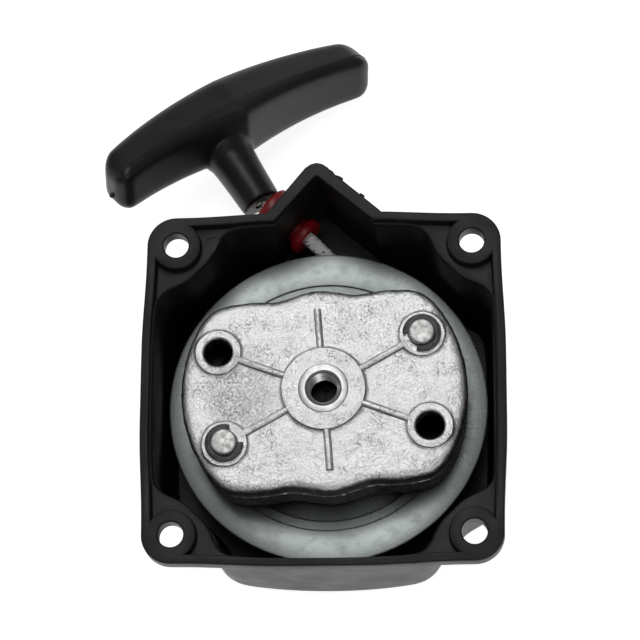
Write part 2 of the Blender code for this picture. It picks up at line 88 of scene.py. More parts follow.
class Slot(Enum):
    """Material slots of the record."""

    HOUSING = "housing_plastic"
    HANDLE = "handle_plastic"
    GUIDE = "guide_plastic"
    REEL = "reel_metal"
    CAST = "cast_metal"
    PIN = "pin_steel"
    DARK = "phosphate_steel"
    SPRING = "spring_steel"
    ROPE = "rope_braid"


# ---------------------------------------------------------------- outlines


def circle(radius: float, count: int, centre: tuple[float, float] = (0.0, 0.0)) -> Outline:
    """Points of a circle.

    Args:
        radius: its radius.
        count: number of points.
        centre: where it lies.

    Returns:
        The points, anticlockwise.
    """
    return [
        (
            centre[0] + radius * math.cos(FULL_TURN * i / count),
            centre[1] + radius * math.sin(FULL_TURN * i / count),
        )
        for i in range(count)
    ]


def four_fold(quarter: Outline) -> Outline:
    """Whole outline from the quarter between +Y and +X."""
    right = quarter + [(x, -y) for x, y in reversed(quarter[:-1])]
    return right + [(-x, y) for x, y in reversed(right[1:-1])]


def cut_corners(outline: Outline, rounds: int) -> Outline:
    """Smooths a closed outline by cutting each corner at a quarter of its sides.

    Args:
        outline: the points.
        rounds: how often the corners are cut.

    Returns:
        The smoother outline, with twice the points for each round.
    """
    for _ in range(rounds):
        finer = []
        for (ax, ay), (bx, by) in zip(outline, outline[1:] + outline[:1]):
            finer.append((0.75 * ax + 0.25 * bx, 0.75 * ay + 0.25 * by))
            finer.append((0.25 * ax + 0.75 * bx, 0.25 * ay + 0.75 * by))
        outline = finer
    return outline


def offset(outline: Outline, distance: float) -> Outline:
    """Outline moved outwards by a distance, or inwards where it is negative."""
    area = sum(
        ax * by - bx * ay for (ax, ay), (bx, by) in zip(outline, outline[1:] + outline[:1])
    )
    sign = 1.0 if area > 0.0 else -1.0
    moved = []
    for i, (x, y) in enumerate(outline):
        before = outline[i - 1]
        after = outline[(i + 1) % len(outline)]
        along = Vector((after[0] - before[0], after[1] - before[1])).normalized()
        moved.append((x + sign * along.y * distance, y - sign * along.x * distance))
    return moved


def scaled(outline: Outline, factor: float) -> Outline:
    """Outline grown or shrunk about the axis."""
    return [(x * factor, y * factor) for x, y in outline]


# ---------------------------------------------------------------- mesh work


def ring(mesh: bmesh.types.BMesh, points: Sequence[Vector]) -> list[bmesh.types.BMEdge]:
    """Adds a closed loop of edges through points."""
    verts = [mesh.verts.new(point) for point in points]
    return [mesh.edges.new((verts[i - 1], verts[i])) for i in range(len(verts))]


def skin(rings: Sequence[Sequence[Vector]]) -> bmesh.types.BMesh:
    """Bridges a row of loops into one skin and fills its two ends.

    Args:
        rings: loops with the same number of points.

    Returns:
        The mesh, with its faces outwards.
    """
    mesh = bmesh.new()
    loops = [ring(mesh, points) for points in rings]
    for low, high in zip(loops, loops[1:]):
        bmesh.ops.bridge_loops(mesh, edges=low + high)
    for end in (loops[0], loops[-1]):
        bmesh.ops.edgeloop_fill(mesh, edges=end)
    bmesh.ops.recalc_face_normals(mesh, faces=mesh.faces)
    return mesh


def stack(levels: Sequence[tuple[Outline, float]]) -> bmesh.types.BMesh:
    """Skin through flat outlines at rising heights."""
    return skin([[Vector((x, y, z)) for x, y in outline] for outline, z in levels])


def slab(
    outline: Outline, low: float, high: float, top: float = 0.0, bottom: float = 0.0
) -> bmesh.types.BMesh:
    """Plate with an outline, and edges rounded by a radius where one is given.

    Args:
        outline: its plan.
        low: height of its underside.
        high: height of its top.
        top: radius round the top edge.
        bottom: radius round the bottom edge.

    Returns:
        The plate.
    """
    levels = []
    for radius, height, way in ((bottom, low, 1.0), (top, high, -1.0)):
        if radius <= 0.0:
            rounds = [(outline, height)]
        else:
            rounds = [
                (
                    offset(outline, -radius * (1.0 - math.sin(angle))),
                    height + way * radius * (1.0 - math.cos(angle)),
                )
                for angle in (math.radians(22.5 * k) for k in range(5))
            ]
        levels += rounds if way > 0.0 else rounds[::-1]
    return stack(levels)


def column(
    radius: float,
    low: float,
    high: float,
    centre: tuple[float, float] = (0.0, 0.0),
    count: int = 64,
    top: float = 0.0,
) -> bmesh.types.BMesh:
    """Round bar along Z, with a rounded top edge where a radius is given."""
    return slab(circle(radius, count, centre), low, high, top)


def barrel(
    levels: Sequence[tuple[float, float]], count: int, centre: tuple[float, float] = (0.0, 0.0)
) -> bmesh.types.BMesh:
    """Round body along Z through pairs of radius and height."""
    return stack([(circle(radius, count, centre), height) for radius, height in levels])


def grown(outline: Outline, levels: Sequence[tuple[float, float]]) -> bmesh.types.BMesh:
    """Body through pairs of outward offset and height, all from one outline."""
    return stack([(offset(outline, distance), height) for distance, height in levels])


def turned(profile: Sequence[tuple[float, float]], steps: int) -> bmesh.types.BMesh:
    """Body of revolution about Z from a closed profile.

    Args:
        profile: (radius, height) points in order.
        steps: number of segments round the axis.

    Returns:
        The closed body.
    """
    mesh = bmesh.new()
    verts = [mesh.verts.new((r, 0.0, z)) for r, z in profile]
    edges = [mesh.edges.new((verts[i - 1], verts[i])) for i in range(len(verts))]
    bmesh.ops.spin(
        mesh,
        geom=verts + edges,
        cent=(0.0, 0.0, 0.0),
        axis=(0.0, 0.0, 1.0),
        angle=FULL_TURN,
        steps=steps,
        use_merge=True,
    )
    bmesh.ops.remove_doubles(mesh, verts=mesh.verts, dist=1e-4)
    bmesh.ops.recalc_face_normals(mesh, faces=mesh.faces)
    return mesh


def soften(mesh: bmesh.types.BMesh, radius: float, sharper: float) -> None:
    """Bevels every edge that turns by more than an angle in degrees."""
    limit = math.radians(sharper)
    edges = [e for e in mesh.edges if len(e.link_faces) == 2 and e.calc_face_angle() > limit]
    bmesh.ops.bevel(
        mesh,
        geom=edges,
        offset=radius,
        segments=2,
        profile=0.5,
        affect="EDGES",
        clamp_overlap=True,
        material=-1,
    )


def placed(mesh: bmesh.types.BMesh, matrix: Matrix) -> bmesh.types.BMesh:
    """Moves a mesh by a matrix and returns it."""
    bmesh.ops.transform(mesh, matrix=matrix, verts=mesh.verts)
    return mesh


def as_object(mesh: bmesh.types.BMesh, name: str) -> bpy.types.Object:
    """Puts a mesh into the scene as it is, and frees it."""
    data = bpy.data.meshes.new(name)
    mesh.to_mesh(data)
    mesh.free()
    made = bpy.data.objects.new(name, data)
    bpy.context.scene.collection.objects.link(made)
    return made


def evaluated(work: bpy.types.Object) -> bmesh.types.BMesh:
    """Mesh of an object with its modifiers applied. The object is removed."""
    graph = bpy.context.evaluated_depsgraph_get()
    data = bpy.data.meshes.new_from_object(work.evaluated_get(graph))
    mesh = bmesh.new()
    mesh.from_mesh(data)
    bpy.data.objects.remove(work, do_unlink=True)
    bpy.data.meshes.remove(data)
    return mesh


def solid(
    base: bmesh.types.BMesh, others: Sequence[bmesh.types.BMesh], way: str
) -> bmesh.types.BMesh:
    """Joins closed bodies to a base, or cuts them from it.

    Args:
        base: the body that stays.
        others: the bodies that are joined or taken away.
        way: UNION or DIFFERENCE.

    Returns:
        The new body.
    """
    for i, other in enumerate(others):
        first = as_object(base, "work")
        second = as_object(other, f"tool_{i}")
        step = first.modifiers.new("step", "BOOLEAN")
        step.operation = way
        step.solver = "EXACT"
        step.object = second
        base = evaluated(first)
        bpy.data.objects.remove(second, do_unlink=True)
    bmesh.ops.remove_doubles(base, verts=base.verts, dist=2e-3)
    bmesh.ops.dissolve_degenerate(base, edges=base.edges, dist=1e-3)
    return base


def join(base: bmesh.types.BMesh, *others: bmesh.types.BMesh) -> bmesh.types.BMesh:
    """Joins bodies into one."""
    return solid(base, others, "UNION")


def cut(base: bmesh.types.BMesh, *others: bmesh.types.BMesh) -> bmesh.types.BMesh:
    """Cuts bodies from a base."""
    return solid(base, others, "DIFFERENCE")


def swept(
    mesh: bmesh.types.BMesh,
    line: Sequence[Vector],
    radius: float,
    sides: int,
    layer: bmesh.types.BMLayerItem | None = None,
    tone: Callable[[int], float] | None = None,
) -> None:
    """Adds a round strand along a line to a mesh, closed at both ends.

    Args:
        mesh: mesh that takes it.
        line: its centre line.
        radius: half its thickness.
        sides: points round it.
        layer: vertex values to fill, if any.
        tone: the value by point number.
    """
    loops = []
    normal = None
    for i, point in enumerate(line):
        along = (line[min(i + 1, len(line) - 1)] - line[max(i - 1, 0)]).normalized()
        if normal is None:
            normal = along.orthogonal().normalized()
        normal = (normal - along * normal.dot(along)).normalized()
        side = along.cross(normal)
        points = [
            point + radius * (math.cos(a) * normal + math.sin(a) * side)
            for a in (FULL_TURN * k / sides for k in range(sides))
        ]
        edges = ring(mesh, points)
        if layer is not None:
            for edge in edges:
                for vert in edge.verts:
                    vert[layer] = tone(i)
        loops.append(edges)
    faces = []
    for low, high in zip(loops, loops[1:]):
        faces += bmesh.ops.bridge_loops(mesh, edges=low + high)["faces"]
    for end in (loops[0], loops[-1]):
        faces += bmesh.ops.edgeloop_fill(mesh, edges=end)["faces"]
    bmesh.ops.recalc_face_normals(mesh, faces=faces)


def regrown(mesh: bmesh.types.BMesh, voxel: float, passes: int) -> bmesh.types.BMesh:
    """Rebuilds a body on an even grid and smooths it, which rounds every edge as casting does.

    Args:
        mesh: the closed body.
        voxel: spacing of the grid.
        passes: how often the points are smoothed.

    Returns:
        The new body.
    """
    work = as_object(mesh, "work")
    step = work.modifiers.new("grid", "REMESH")
    step.mode = "VOXEL"
    step.voxel_size = voxel
    fresh = evaluated(work)
    for _ in range(passes):
        bmesh.ops.smooth_vert(
            fresh,
            verts=fresh.verts,
            factor=0.5,
            use_axis_x=True,
            use_axis_y=True,
            use_axis_z=True,
        )
    return fresh


def roughened(
    mesh: bmesh.types.BMesh, height: Callable[[Vector, Vector], float]
) -> bmesh.types.BMesh:
    """Moves each point along its normal by a height that depends on its place and normal."""
    mesh.normal_update()
    shifts = [(v, v.normal * height(v.co, v.normal)) for v in mesh.verts]
    for v, shift in shifts:
        v.co += shift
    return mesh


def piece(
    mesh: bmesh.types.BMesh,
    name: str,
    material: bpy.types.Material,
    body: Body,
    stands_for: Sequence[str],
    crease: float = 35.0,
) -> bpy.types.Object:
    """Turns a mesh in millimetres into a finished piece that rides on its body.

    Args:
        mesh: the shape in its place.
        name: the piece's name.
        material: its finish.
        body: what it moves with.
        stands_for: the frame's nodes it replaces.
        crease: angle in degrees past which an edge is shaded sharp.

    Returns:
        The object.
    """
    bmesh.ops.scale(mesh, vec=(METRES, METRES, METRES), verts=mesh.verts)
    made = as_object(mesh, name)
    made.data.shade_smooth()
    made.data.set_sharp_from_angle(angle=math.radians(crease))
    made.data.materials.append(material)
    if stands_for:
        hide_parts(*stands_for)
    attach(made, body.value)
    LOG.info("%s: %d faces on %s", name, len(made.data.polygons), body.value)
    return made


# ---------------------------------------------------------------- finishes


class Graph:
    """Adds and links the nodes of one shader tree."""

    def __init__(self, tree: bpy.types.NodeTree) -> None:
        """Starts on an existing tree."""
        self.tree = tree

    def add(self, kind: str, inputs: dict | None = None, **settings: object) -> bpy.types.Node:
        """Adds a node.

        Args:
            kind: its type, without the ShaderNode prefix.
            inputs: socket names or numbers, each with a value or a socket to link from.
            **settings: properties of the node.

        Returns:
            The node.
        """
        node = self.tree.nodes.new("ShaderNode" + kind)
        for key, value in settings.items():
            setattr(node, key, value)
        for key, value in (inputs or {}).items():
            if isinstance(value, bpy.types.NodeSocket):
                self.tree.links.new(value, node.inputs[key])
            else:
                node.inputs[key].default_value = value
        return node

    def math(
        self, how: str, first: object, second: object, clamp: bool = False
    ) -> bpy.types.NodeSocket:
        """Result of a sum on two sockets or numbers."""
        node = self.add("Math", {0: first, 1: second}, operation=how, use_clamp=clamp)
        return node.outputs[0]

    def blend(self, share: object, first: object, second: object) -> bpy.types.NodeSocket:
        """Colour between two colours."""
        node = self.add("Mix", data_type="RGBA")
        for place, value in ((0, share), (6, first), (7, second)):
            if isinstance(value, bpy.types.NodeSocket):
                self.tree.links.new(value, node.inputs[place])
            elif place == 0:
                node.inputs[place].default_value = value
            else:
                node.inputs[place].default_value = (*value, 1.0)
        return node.outputs[2]

    def span(
        self, value: object, low: float, high: float, to_low: float, to_high: float
    ) -> bpy.types.NodeSocket:
        """Value carried smoothly from one range to another."""
        node = self.add(
            "MapRange",
            {0: value, 1: low, 2: high, 3: to_low, 4: to_high},
            interpolation_type="SMOOTHSTEP",
        )
        return node.outputs[0]


class Effects:
    """Shader node groups that several finishes share."""

    def __init__(self) -> None:
        """Builds every group once."""
        self.grain = self.make_grain()
        self.patches = self.make_patches()
        self.scratches = self.make_scratches()

    @staticmethod
    def start(name: str, takes: dict[str, float], gives: Sequence[str]) -> tuple[Graph, dict, dict]:
        """Opens a new group.

        Args:
            name: the group's name.
            takes: input names with their first values.
            gives: output names.

        Returns:
            The graph, its input sockets and its output sockets by name.
        """
        tree = bpy.data.node_groups.new(name, "ShaderNodeTree")
        for key, value in takes.items():
            socket = tree.interface.new_socket(key, in_out="INPUT", socket_type="NodeSocketFloat")
            socket.default_value = value
        for key in gives:
            tree.interface.new_socket(key, in_out="OUTPUT", socket_type="NodeSocketFloat")
        graph = Graph(tree)
        entry = tree.nodes.new("NodeGroupInput")
        leave = tree.nodes.new("NodeGroupOutput")
        return graph, {k: entry.outputs[k] for k in takes}, {k: leave.inputs[k] for k in gives}

    def make_grain(self) -> bpy.types.NodeTree:
        """Fine even grain: noise at one size with a finer one on it."""
        graph, takes, gives = self.start("surface_grain", {"Scale": 2000.0, "Mix": 0.5}, ["Height"])
        place = graph.add("TexCoord").outputs["Object"]
        coarse = graph.add("TexNoise", {"Vector": place, "Scale": takes["Scale"], "Detail": 3.0})
        finer = graph.math("MULTIPLY", takes["Scale"], 3.7)
        fine = graph.add("TexNoise", {"Vector": place, "Scale": finer, "Detail": 2.0})
        share = graph.math("MULTIPLY", fine.outputs[0], takes["Mix"])
        graph.tree.links.new(graph.math("ADD", coarse.outputs[0], share), gives["Height"])
        return graph.tree

    def make_patches(self) -> bpy.types.NodeTree:
        """Soft-edged patches of one size that cover a share of the surface."""
        graph, takes, gives = self.start(
            "patches", {"Scale": 300.0, "Cover": 0.5, "Edge": 0.08}, ["Mask"]
        )
        place = graph.add("TexCoord").outputs["Object"]
        cloud = graph.add(
            "TexNoise", {"Vector": place, "Scale": takes["Scale"], "Detail": 6.0, "Roughness": 0.62}
        )
        start = graph.math("SUBTRACT", 1.0, takes["Cover"])
        rise = graph.math("SUBTRACT", cloud.outputs[0], start)
        steep = graph.math("DIVIDE", rise, takes["Edge"])
        graph.tree.links.new(graph.math("ADD", steep, 0.5, True), gives["Mask"])
        return graph.tree

    def make_scratches(self) -> bpy.types.NodeTree:
        """Thin hairline marks that run mostly one way."""
        graph, takes, gives = self.start(
            "hairlines", {"Angle": 0.6, "Scale": 60.0, "Cover": 0.3}, ["Mask"]
        )
        place = graph.add("TexCoord").outputs["Object"]
        turn = graph.add("CombineXYZ", {2: takes["Angle"]}).outputs[0]
        laid = graph.add("VectorRotate", {0: place, 4: turn}, rotation_type="EULER_XYZ")
        drawn = graph.add("VectorMath", {0: laid.outputs[0], 1: (1.0, 42.0, 9.0)}, operation="MULTIPLY")
        lines = graph.add(
            "TexNoise", {"Vector": drawn.outputs[0], "Scale": takes["Scale"], "Detail": 3.0}
        )
        start = graph.math("SUBTRACT", 1.0, takes["Cover"])
        rise = graph.math("SUBTRACT", lines.outputs[0], start)
        graph.tree.links.new(graph.math("MULTIPLY", rise, 9.0, True), gives["Mask"])
        return graph.tree


class Finish:
    """Base of every finish: a material with its shader and the shared effects."""

    def __init__(self, name: str, effects: Effects) -> None:
        """Opens the material."""
        self.material = bpy.data.materials.new(name)
        self.material.use_nodes = True
        self.effects = effects
        self.graph = Graph(self.material.node_tree)
        self.shader = self.material.node_tree.nodes["Principled BSDF"]

    def group(self, tree: bpy.types.NodeTree, **values: float) -> bpy.types.NodeSocket:
        """Places a shared effect and returns its output."""
        node = self.graph.add("Group")
        node.node_tree = tree
        for key, value in values.items():
            node.inputs[key].default_value = value
        return node.outputs[0]

    def feed(self, socket: str, value: object) -> None:
        """Sets or links one socket of the shader."""
        if isinstance(value, bpy.types.NodeSocket):
            self.graph.tree.links.new(value, self.shader.inputs[socket])
        elif isinstance(value, tuple):
            self.shader.inputs[socket].default_value = (*value, 1.0)
        else:
            self.shader.inputs[socket].default_value = value

    def relief(self, *layers: tuple[bpy.types.NodeSocket, float]) -> None:
        """Chains bump layers, each a height and its depth in millimetres."""
        normal = None
        for height, depth in layers:
            inputs = {"Height": height, "Strength": 1.0, "Distance": depth * METRES}
            if normal is not None:
                inputs["Normal"] = normal
            normal = self.graph.add("Bump", inputs).outputs[0]
        self.feed("Normal", normal)


@dataclass(frozen=True)
class MouldedPlastic:
    """Filled plastic from a mould: fine grain, faint scuffs and uneven gloss."""

    name: str
    colour: Colour
    scuffed: Colour
    roughness: float
    grain: float = 2600.0
    grain_depth: float = 0.012
    scuffs: float = 0.33
    specular: float = 0.4

    def build(self, effects: Effects) -> bpy.types.Material:
        """Makes the material."""
        work = Finish(self.name, effects)
        graph = work.graph
        cloud = work.group(effects.patches, Scale=95.0, Cover=0.5, Edge=0.5)
        lines = work.group(effects.scratches, Angle=0.7, Scale=55.0, Cover=self.scuffs)
        specks = work.group(effects.patches, Scale=1500.0, Cover=0.31, Edge=0.04)
        marks = graph.math("MULTIPLY", lines, cloud, True)
        dust = graph.math("MULTIPLY", specks, 0.35)
        worn = graph.math("MAXIMUM", graph.math("MULTIPLY", marks, 0.55), dust, True)
        work.feed("Base Color", graph.blend(worn, self.colour, self.scuffed))
        gloss = graph.span(cloud, 0.0, 1.0, self.roughness - 0.05, self.roughness + 0.07)
        work.feed("Roughness", graph.math("ADD", gloss, graph.math("MULTIPLY", marks, 0.12)))
        work.feed("Specular IOR Level", self.specular)
        fine = work.group(effects.grain, Scale=self.grain, Mix=0.5)
        soft = work.group(effects.grain, Scale=160.0, Mix=0.1)
        work.relief((soft, 0.05), (fine, self.grain_depth), (marks, 0.01))
        return work.material


@dataclass(frozen=True)
class DieCast:
    """Skin of a zinc die casting: bright metal with flow marks, pits and dull patches, and painted
    shade on steep faces.
    """

    name: str = "cast_skin"
    bright: Colour = (0.93, 0.93, 0.935)
    dull: Colour = (0.42, 0.42, 0.425)
    # Painted shade: brownish colour laid on steep sides, standing for the dark housing they reflect.
    side: Colour = (0.34, 0.3, 0.27)
    # Painted shade: near-black colour laid on faces that turn sideways or down.
    wall: Colour = (0.1, 0.095, 0.088)
    pit: Colour = (0.12, 0.12, 0.125)

    def build(self, effects: Effects) -> bpy.types.Material:
        """Makes the material."""
        work = Finish(self.name, effects)
        graph = work.graph
        flow = work.group(effects.patches, Scale=210.0, Cover=0.46, Edge=0.16)
        mottled = work.group(effects.patches, Scale=1700.0, Cover=0.47, Edge=0.12)
        pits = work.group(effects.patches, Scale=2600.0, Cover=0.36, Edge=0.04)
        streaks = work.group(effects.scratches, Angle=0.15, Scale=130.0, Cover=0.42)
        facing = graph.add("SeparateXYZ", {0: graph.add("NewGeometry").outputs["Normal"]})
        steep = graph.span(facing.outputs[2], 0.35, 0.93, 1.0, 0.0)
        rough_area = self.rough_area(graph)
        broad = graph.math("MAXIMUM", flow, graph.math("MULTIPLY", rough_area, 0.22))
        dulled = graph.math("MULTIPLY", broad, mottled, True)
        dulled = graph.math("MAXIMUM", dulled, graph.math("MULTIPLY", streaks, 0.35))
        colour = graph.blend(graph.math("MULTIPLY", dulled, 0.8), self.bright, self.dull)
        # Steep sides take the painted brownish shade colour, and a little more roughness further down.
        shaded_rough_side = graph.math("MULTIPLY", steep, graph.span(mottled, 0.0, 1.0, 0.55, 1.0))
        colour = graph.blend(shaded_rough_side, colour, self.side)
        # Faces that turn sideways or down are painted near-black as painted shade.
        colour = graph.blend(graph.span(facing.outputs[2], 0.1, 0.5, 1.0, 0.0), colour, self.wall)
        near = graph.math("MULTIPLY", pits, graph.span(broad, 0.0, 1.0, 0.35, 1.0))
        colour = graph.blend(graph.math("MULTIPLY", near, 0.75), colour, self.pit)
        work.feed("Base Color", colour)
        work.feed("Metallic", 1.0)
        rough = graph.span(dulled, 0.0, 1.0, 0.3, 0.5)
        work.feed("Roughness", graph.math("ADD", rough, graph.math("MULTIPLY", shaded_rough_side, 0.12)))
        wave = work.group(effects.grain, Scale=330.0, Mix=0.3)
        skin_grain = work.group(effects.grain, Scale=1250.0, Mix=0.7)
        torn = graph.math("MULTIPLY", mottled, rough_area)
        work.relief((wave, 0.28), (skin_grain, 0.15), (pits, -0.05), (torn, -0.045))
        return work.material

    def rough_area(self, graph: Graph) -> bpy.types.NodeSocket:
        """Mask of the torn-looking area beside the left pins, fading to its edges."""
        place = graph.add("TexCoord").outputs["Object"]
        centred = graph.add(
            "Mapping",
            {"Vector": place, "Location": (1.75, 0.0, 0.0), "Scale": (85.0, 70.0, 1.0)},
        )
        ball = graph.add("TexGradient", {0: centred.outputs[0]}, gradient_type="SPHERICAL")
        return graph.span(ball.outputs["Fac"], 0.0, 0.55, 0.0, 1.0)


@dataclass(frozen=True)
class TurnedMetal:
    """Machined or pressed metal with marks round the spool axis."""

    name: str
    colour: Colour
    shade: Colour
    roughness: float
    rings: float = 2400.0
    ring_depth: float = 0.004
    anisotropy: float = 0.0

    def build(self, effects: Effects) -> bpy.types.Material:
        """Makes the material."""
        work = Finish(self.name, effects)
        graph = work.graph
        place = graph.add("SeparateXYZ", {0: graph.add("TexCoord").outputs["Object"]})
        across = graph.math("MULTIPLY", place.outputs[0], place.outputs[0])
        along = graph.math("MULTIPLY", place.outputs[1], place.outputs[1])
        reach = graph.math("SQRT", graph.math("ADD", across, along), 0.0)
        where = graph.add("CombineXYZ", {0: reach}).outputs[0]
        marks = graph.add("TexNoise", {"Vector": where, "Scale": self.rings, "Detail": 4.0})
        cloud = work.group(effects.patches, Scale=70.0, Cover=0.5, Edge=0.6)
        stain = work.group(effects.patches, Scale=420.0, Cover=0.42, Edge=0.2)
        tone = graph.math("MULTIPLY", graph.math("ADD", cloud, stain), 0.32)
        tone = graph.math("ADD", tone, graph.math("MULTIPLY", marks.outputs[0], 0.3), True)
        work.feed("Base Color", graph.blend(tone, self.colour, self.shade))
        work.feed("Metallic", 1.0)
        low, high = self.roughness - 0.05, self.roughness + 0.08
        work.feed("Roughness", graph.span(tone, 0.0, 1.0, low, high))
        fine = work.group(effects.grain, Scale=3200.0, Mix=0.5)
        work.relief((marks.outputs[0], self.ring_depth), (fine, 0.006))
        if self.anisotropy > 0.0:
            work.feed("Anisotropic", self.anisotropy)
            work.feed("Anisotropic Rotation", 0.25)
            work.feed("Tangent", graph.add("Tangent", direction_type="RADIAL", axis="Z").outputs[0])
        return work.material


@dataclass(frozen=True)
class PlainSteel:
    """Small steel parts: sheared, ground or phosphated, with fine pits."""

    name: str
    colour: Colour
    shade: Colour
    roughness: float
    metallic: float = 1.0
    grain_depth: float = 0.01

    def build(self, effects: Effects) -> bpy.types.Material:
        """Makes the material."""
        work = Finish(self.name, effects)
        graph = work.graph
        stain = work.group(effects.patches, Scale=700.0, Cover=0.48, Edge=0.25)
        lines = work.group(effects.scratches, Angle=1.1, Scale=260.0, Cover=0.36)
        tone = graph.math("MAXIMUM", stain, graph.math("MULTIPLY", lines, 0.7))
        work.feed("Base Color", graph.blend(tone, self.colour, self.shade))
        work.feed("Metallic", self.metallic)
        low, high = self.roughness - 0.06, self.roughness + 0.1
        work.feed("Roughness", graph.span(tone, 0.0, 1.0, low, high))
        fine = work.group(effects.grain, Scale=2600.0, Mix=0.6)
        work.relief((fine, self.grain_depth), (lines, -0.004))
        return work.material


@dataclass(frozen=True)
class BraidedYarn:
    """Polyester yarn, white, with a dark colour on some strands as tracer and on the core as painted
    shade in the gaps.
    """

    name: str = "braided_yarn"
    colour: Colour = (0.95, 0.95, 0.94)
    # Dark colour of the tracer strands, also put partly on the core as painted shade.
    tracer_and_gap_shade: Colour = (0.055, 0.055, 0.06)
    shade: Colour = (0.6, 0.6, 0.59)

    def build(self, effects: Effects) -> bpy.types.Material:
        """Makes the material."""
        work = Finish(self.name, effects)
        graph = work.graph
        dark = graph.add("Attribute", attribute_name="tracer_and_gap_shade").outputs["Fac"]
        fibres = work.group(effects.scratches, Angle=2.4, Scale=420.0, Cover=0.5)
        soil = work.group(effects.patches, Scale=900.0, Cover=0.5, Edge=0.4)
        tone = graph.math("MULTIPLY", graph.math("ADD", fibres, soil), 0.35, True)
        colour = graph.blend(tone, self.colour, self.shade)
        # The dark colour marks the tracer strands, and partly tints the core as painted shade in the
        # gaps.
        work.feed("Base Color", graph.blend(dark, colour, self.tracer_and_gap_shade))
        work.feed("Roughness", graph.span(fibres, 0.0, 1.0, 0.32, 0.55))
        work.shader.inputs["Sheen Weight"].default_value = 0.25
        work.shader.inputs["Sheen Roughness"].default_value = 0.5
        fine = work.group(effects.grain, Scale=5200.0, Mix=0.6)
        work.relief((fibres, 0.03), (fine, 0.02))
        return work.material


@dataclass
class Palette:
    """Every finish of the starter, built once."""

    effects: Effects = field(default_factory=Effects)

    def __post_init__(self) -> None:
        """Builds the materials by slot."""
        choices = {
            Slot.HOUSING: MouldedPlastic(
                "housing_moulding", (0.0075, 0.0075, 0.0078), (0.045, 0.045, 0.045), 0.46,
                grain=1700.0, grain_depth=0.02, specular=0.35,
            ),
            Slot.HANDLE: MouldedPlastic(
                "grip_moulding", (0.006, 0.006, 0.0063), (0.02, 0.02, 0.02), 0.36,
                grain=1900.0, grain_depth=0.01, scuffs=0.28,
            ),
            Slot.GUIDE: MouldedPlastic(
                "bush_moulding", (0.25, 0.006, 0.009), (0.32, 0.04, 0.035), 0.36,
                grain_depth=0.005, scuffs=0.25, specular=0.5,
            ),
            Slot.REEL: TurnedMetal(
                "reel_pressing", (0.25, 0.272, 0.26), (0.19, 0.208, 0.2), 0.3, anisotropy=0.9
            ),
            Slot.CAST: DieCast(),
            Slot.PIN: PlainSteel("sheared_steel", (0.62, 0.62, 0.61), (0.45, 0.45, 0.44), 0.44),
            Slot.DARK: PlainSteel(
                "phosphated_steel", (0.05, 0.05, 0.054), (0.1, 0.1, 0.1), 0.42, 0.7
            ),
            Slot.SPRING: PlainSteel("spring_strip", (0.3, 0.31, 0.33), (0.15, 0.16, 0.19), 0.3),
            Slot.ROPE: BraidedYarn(),
        }
        self.by_slot = {slot: choice.build(self.effects) for slot, choice in choices.items()}
        self.insert = TurnedMetal(
            "threaded_steel", (0.6, 0.6, 0.6), (0.34, 0.33, 0.32), 0.34, 3000.0, 0.01
        ).build(self.effects)

    def __getitem__(self, slot: Slot) -> bpy.types.Material:
        """Material of a slot."""
        return self.by_slot[slot]


# ---------------------------------------------------------------- housing


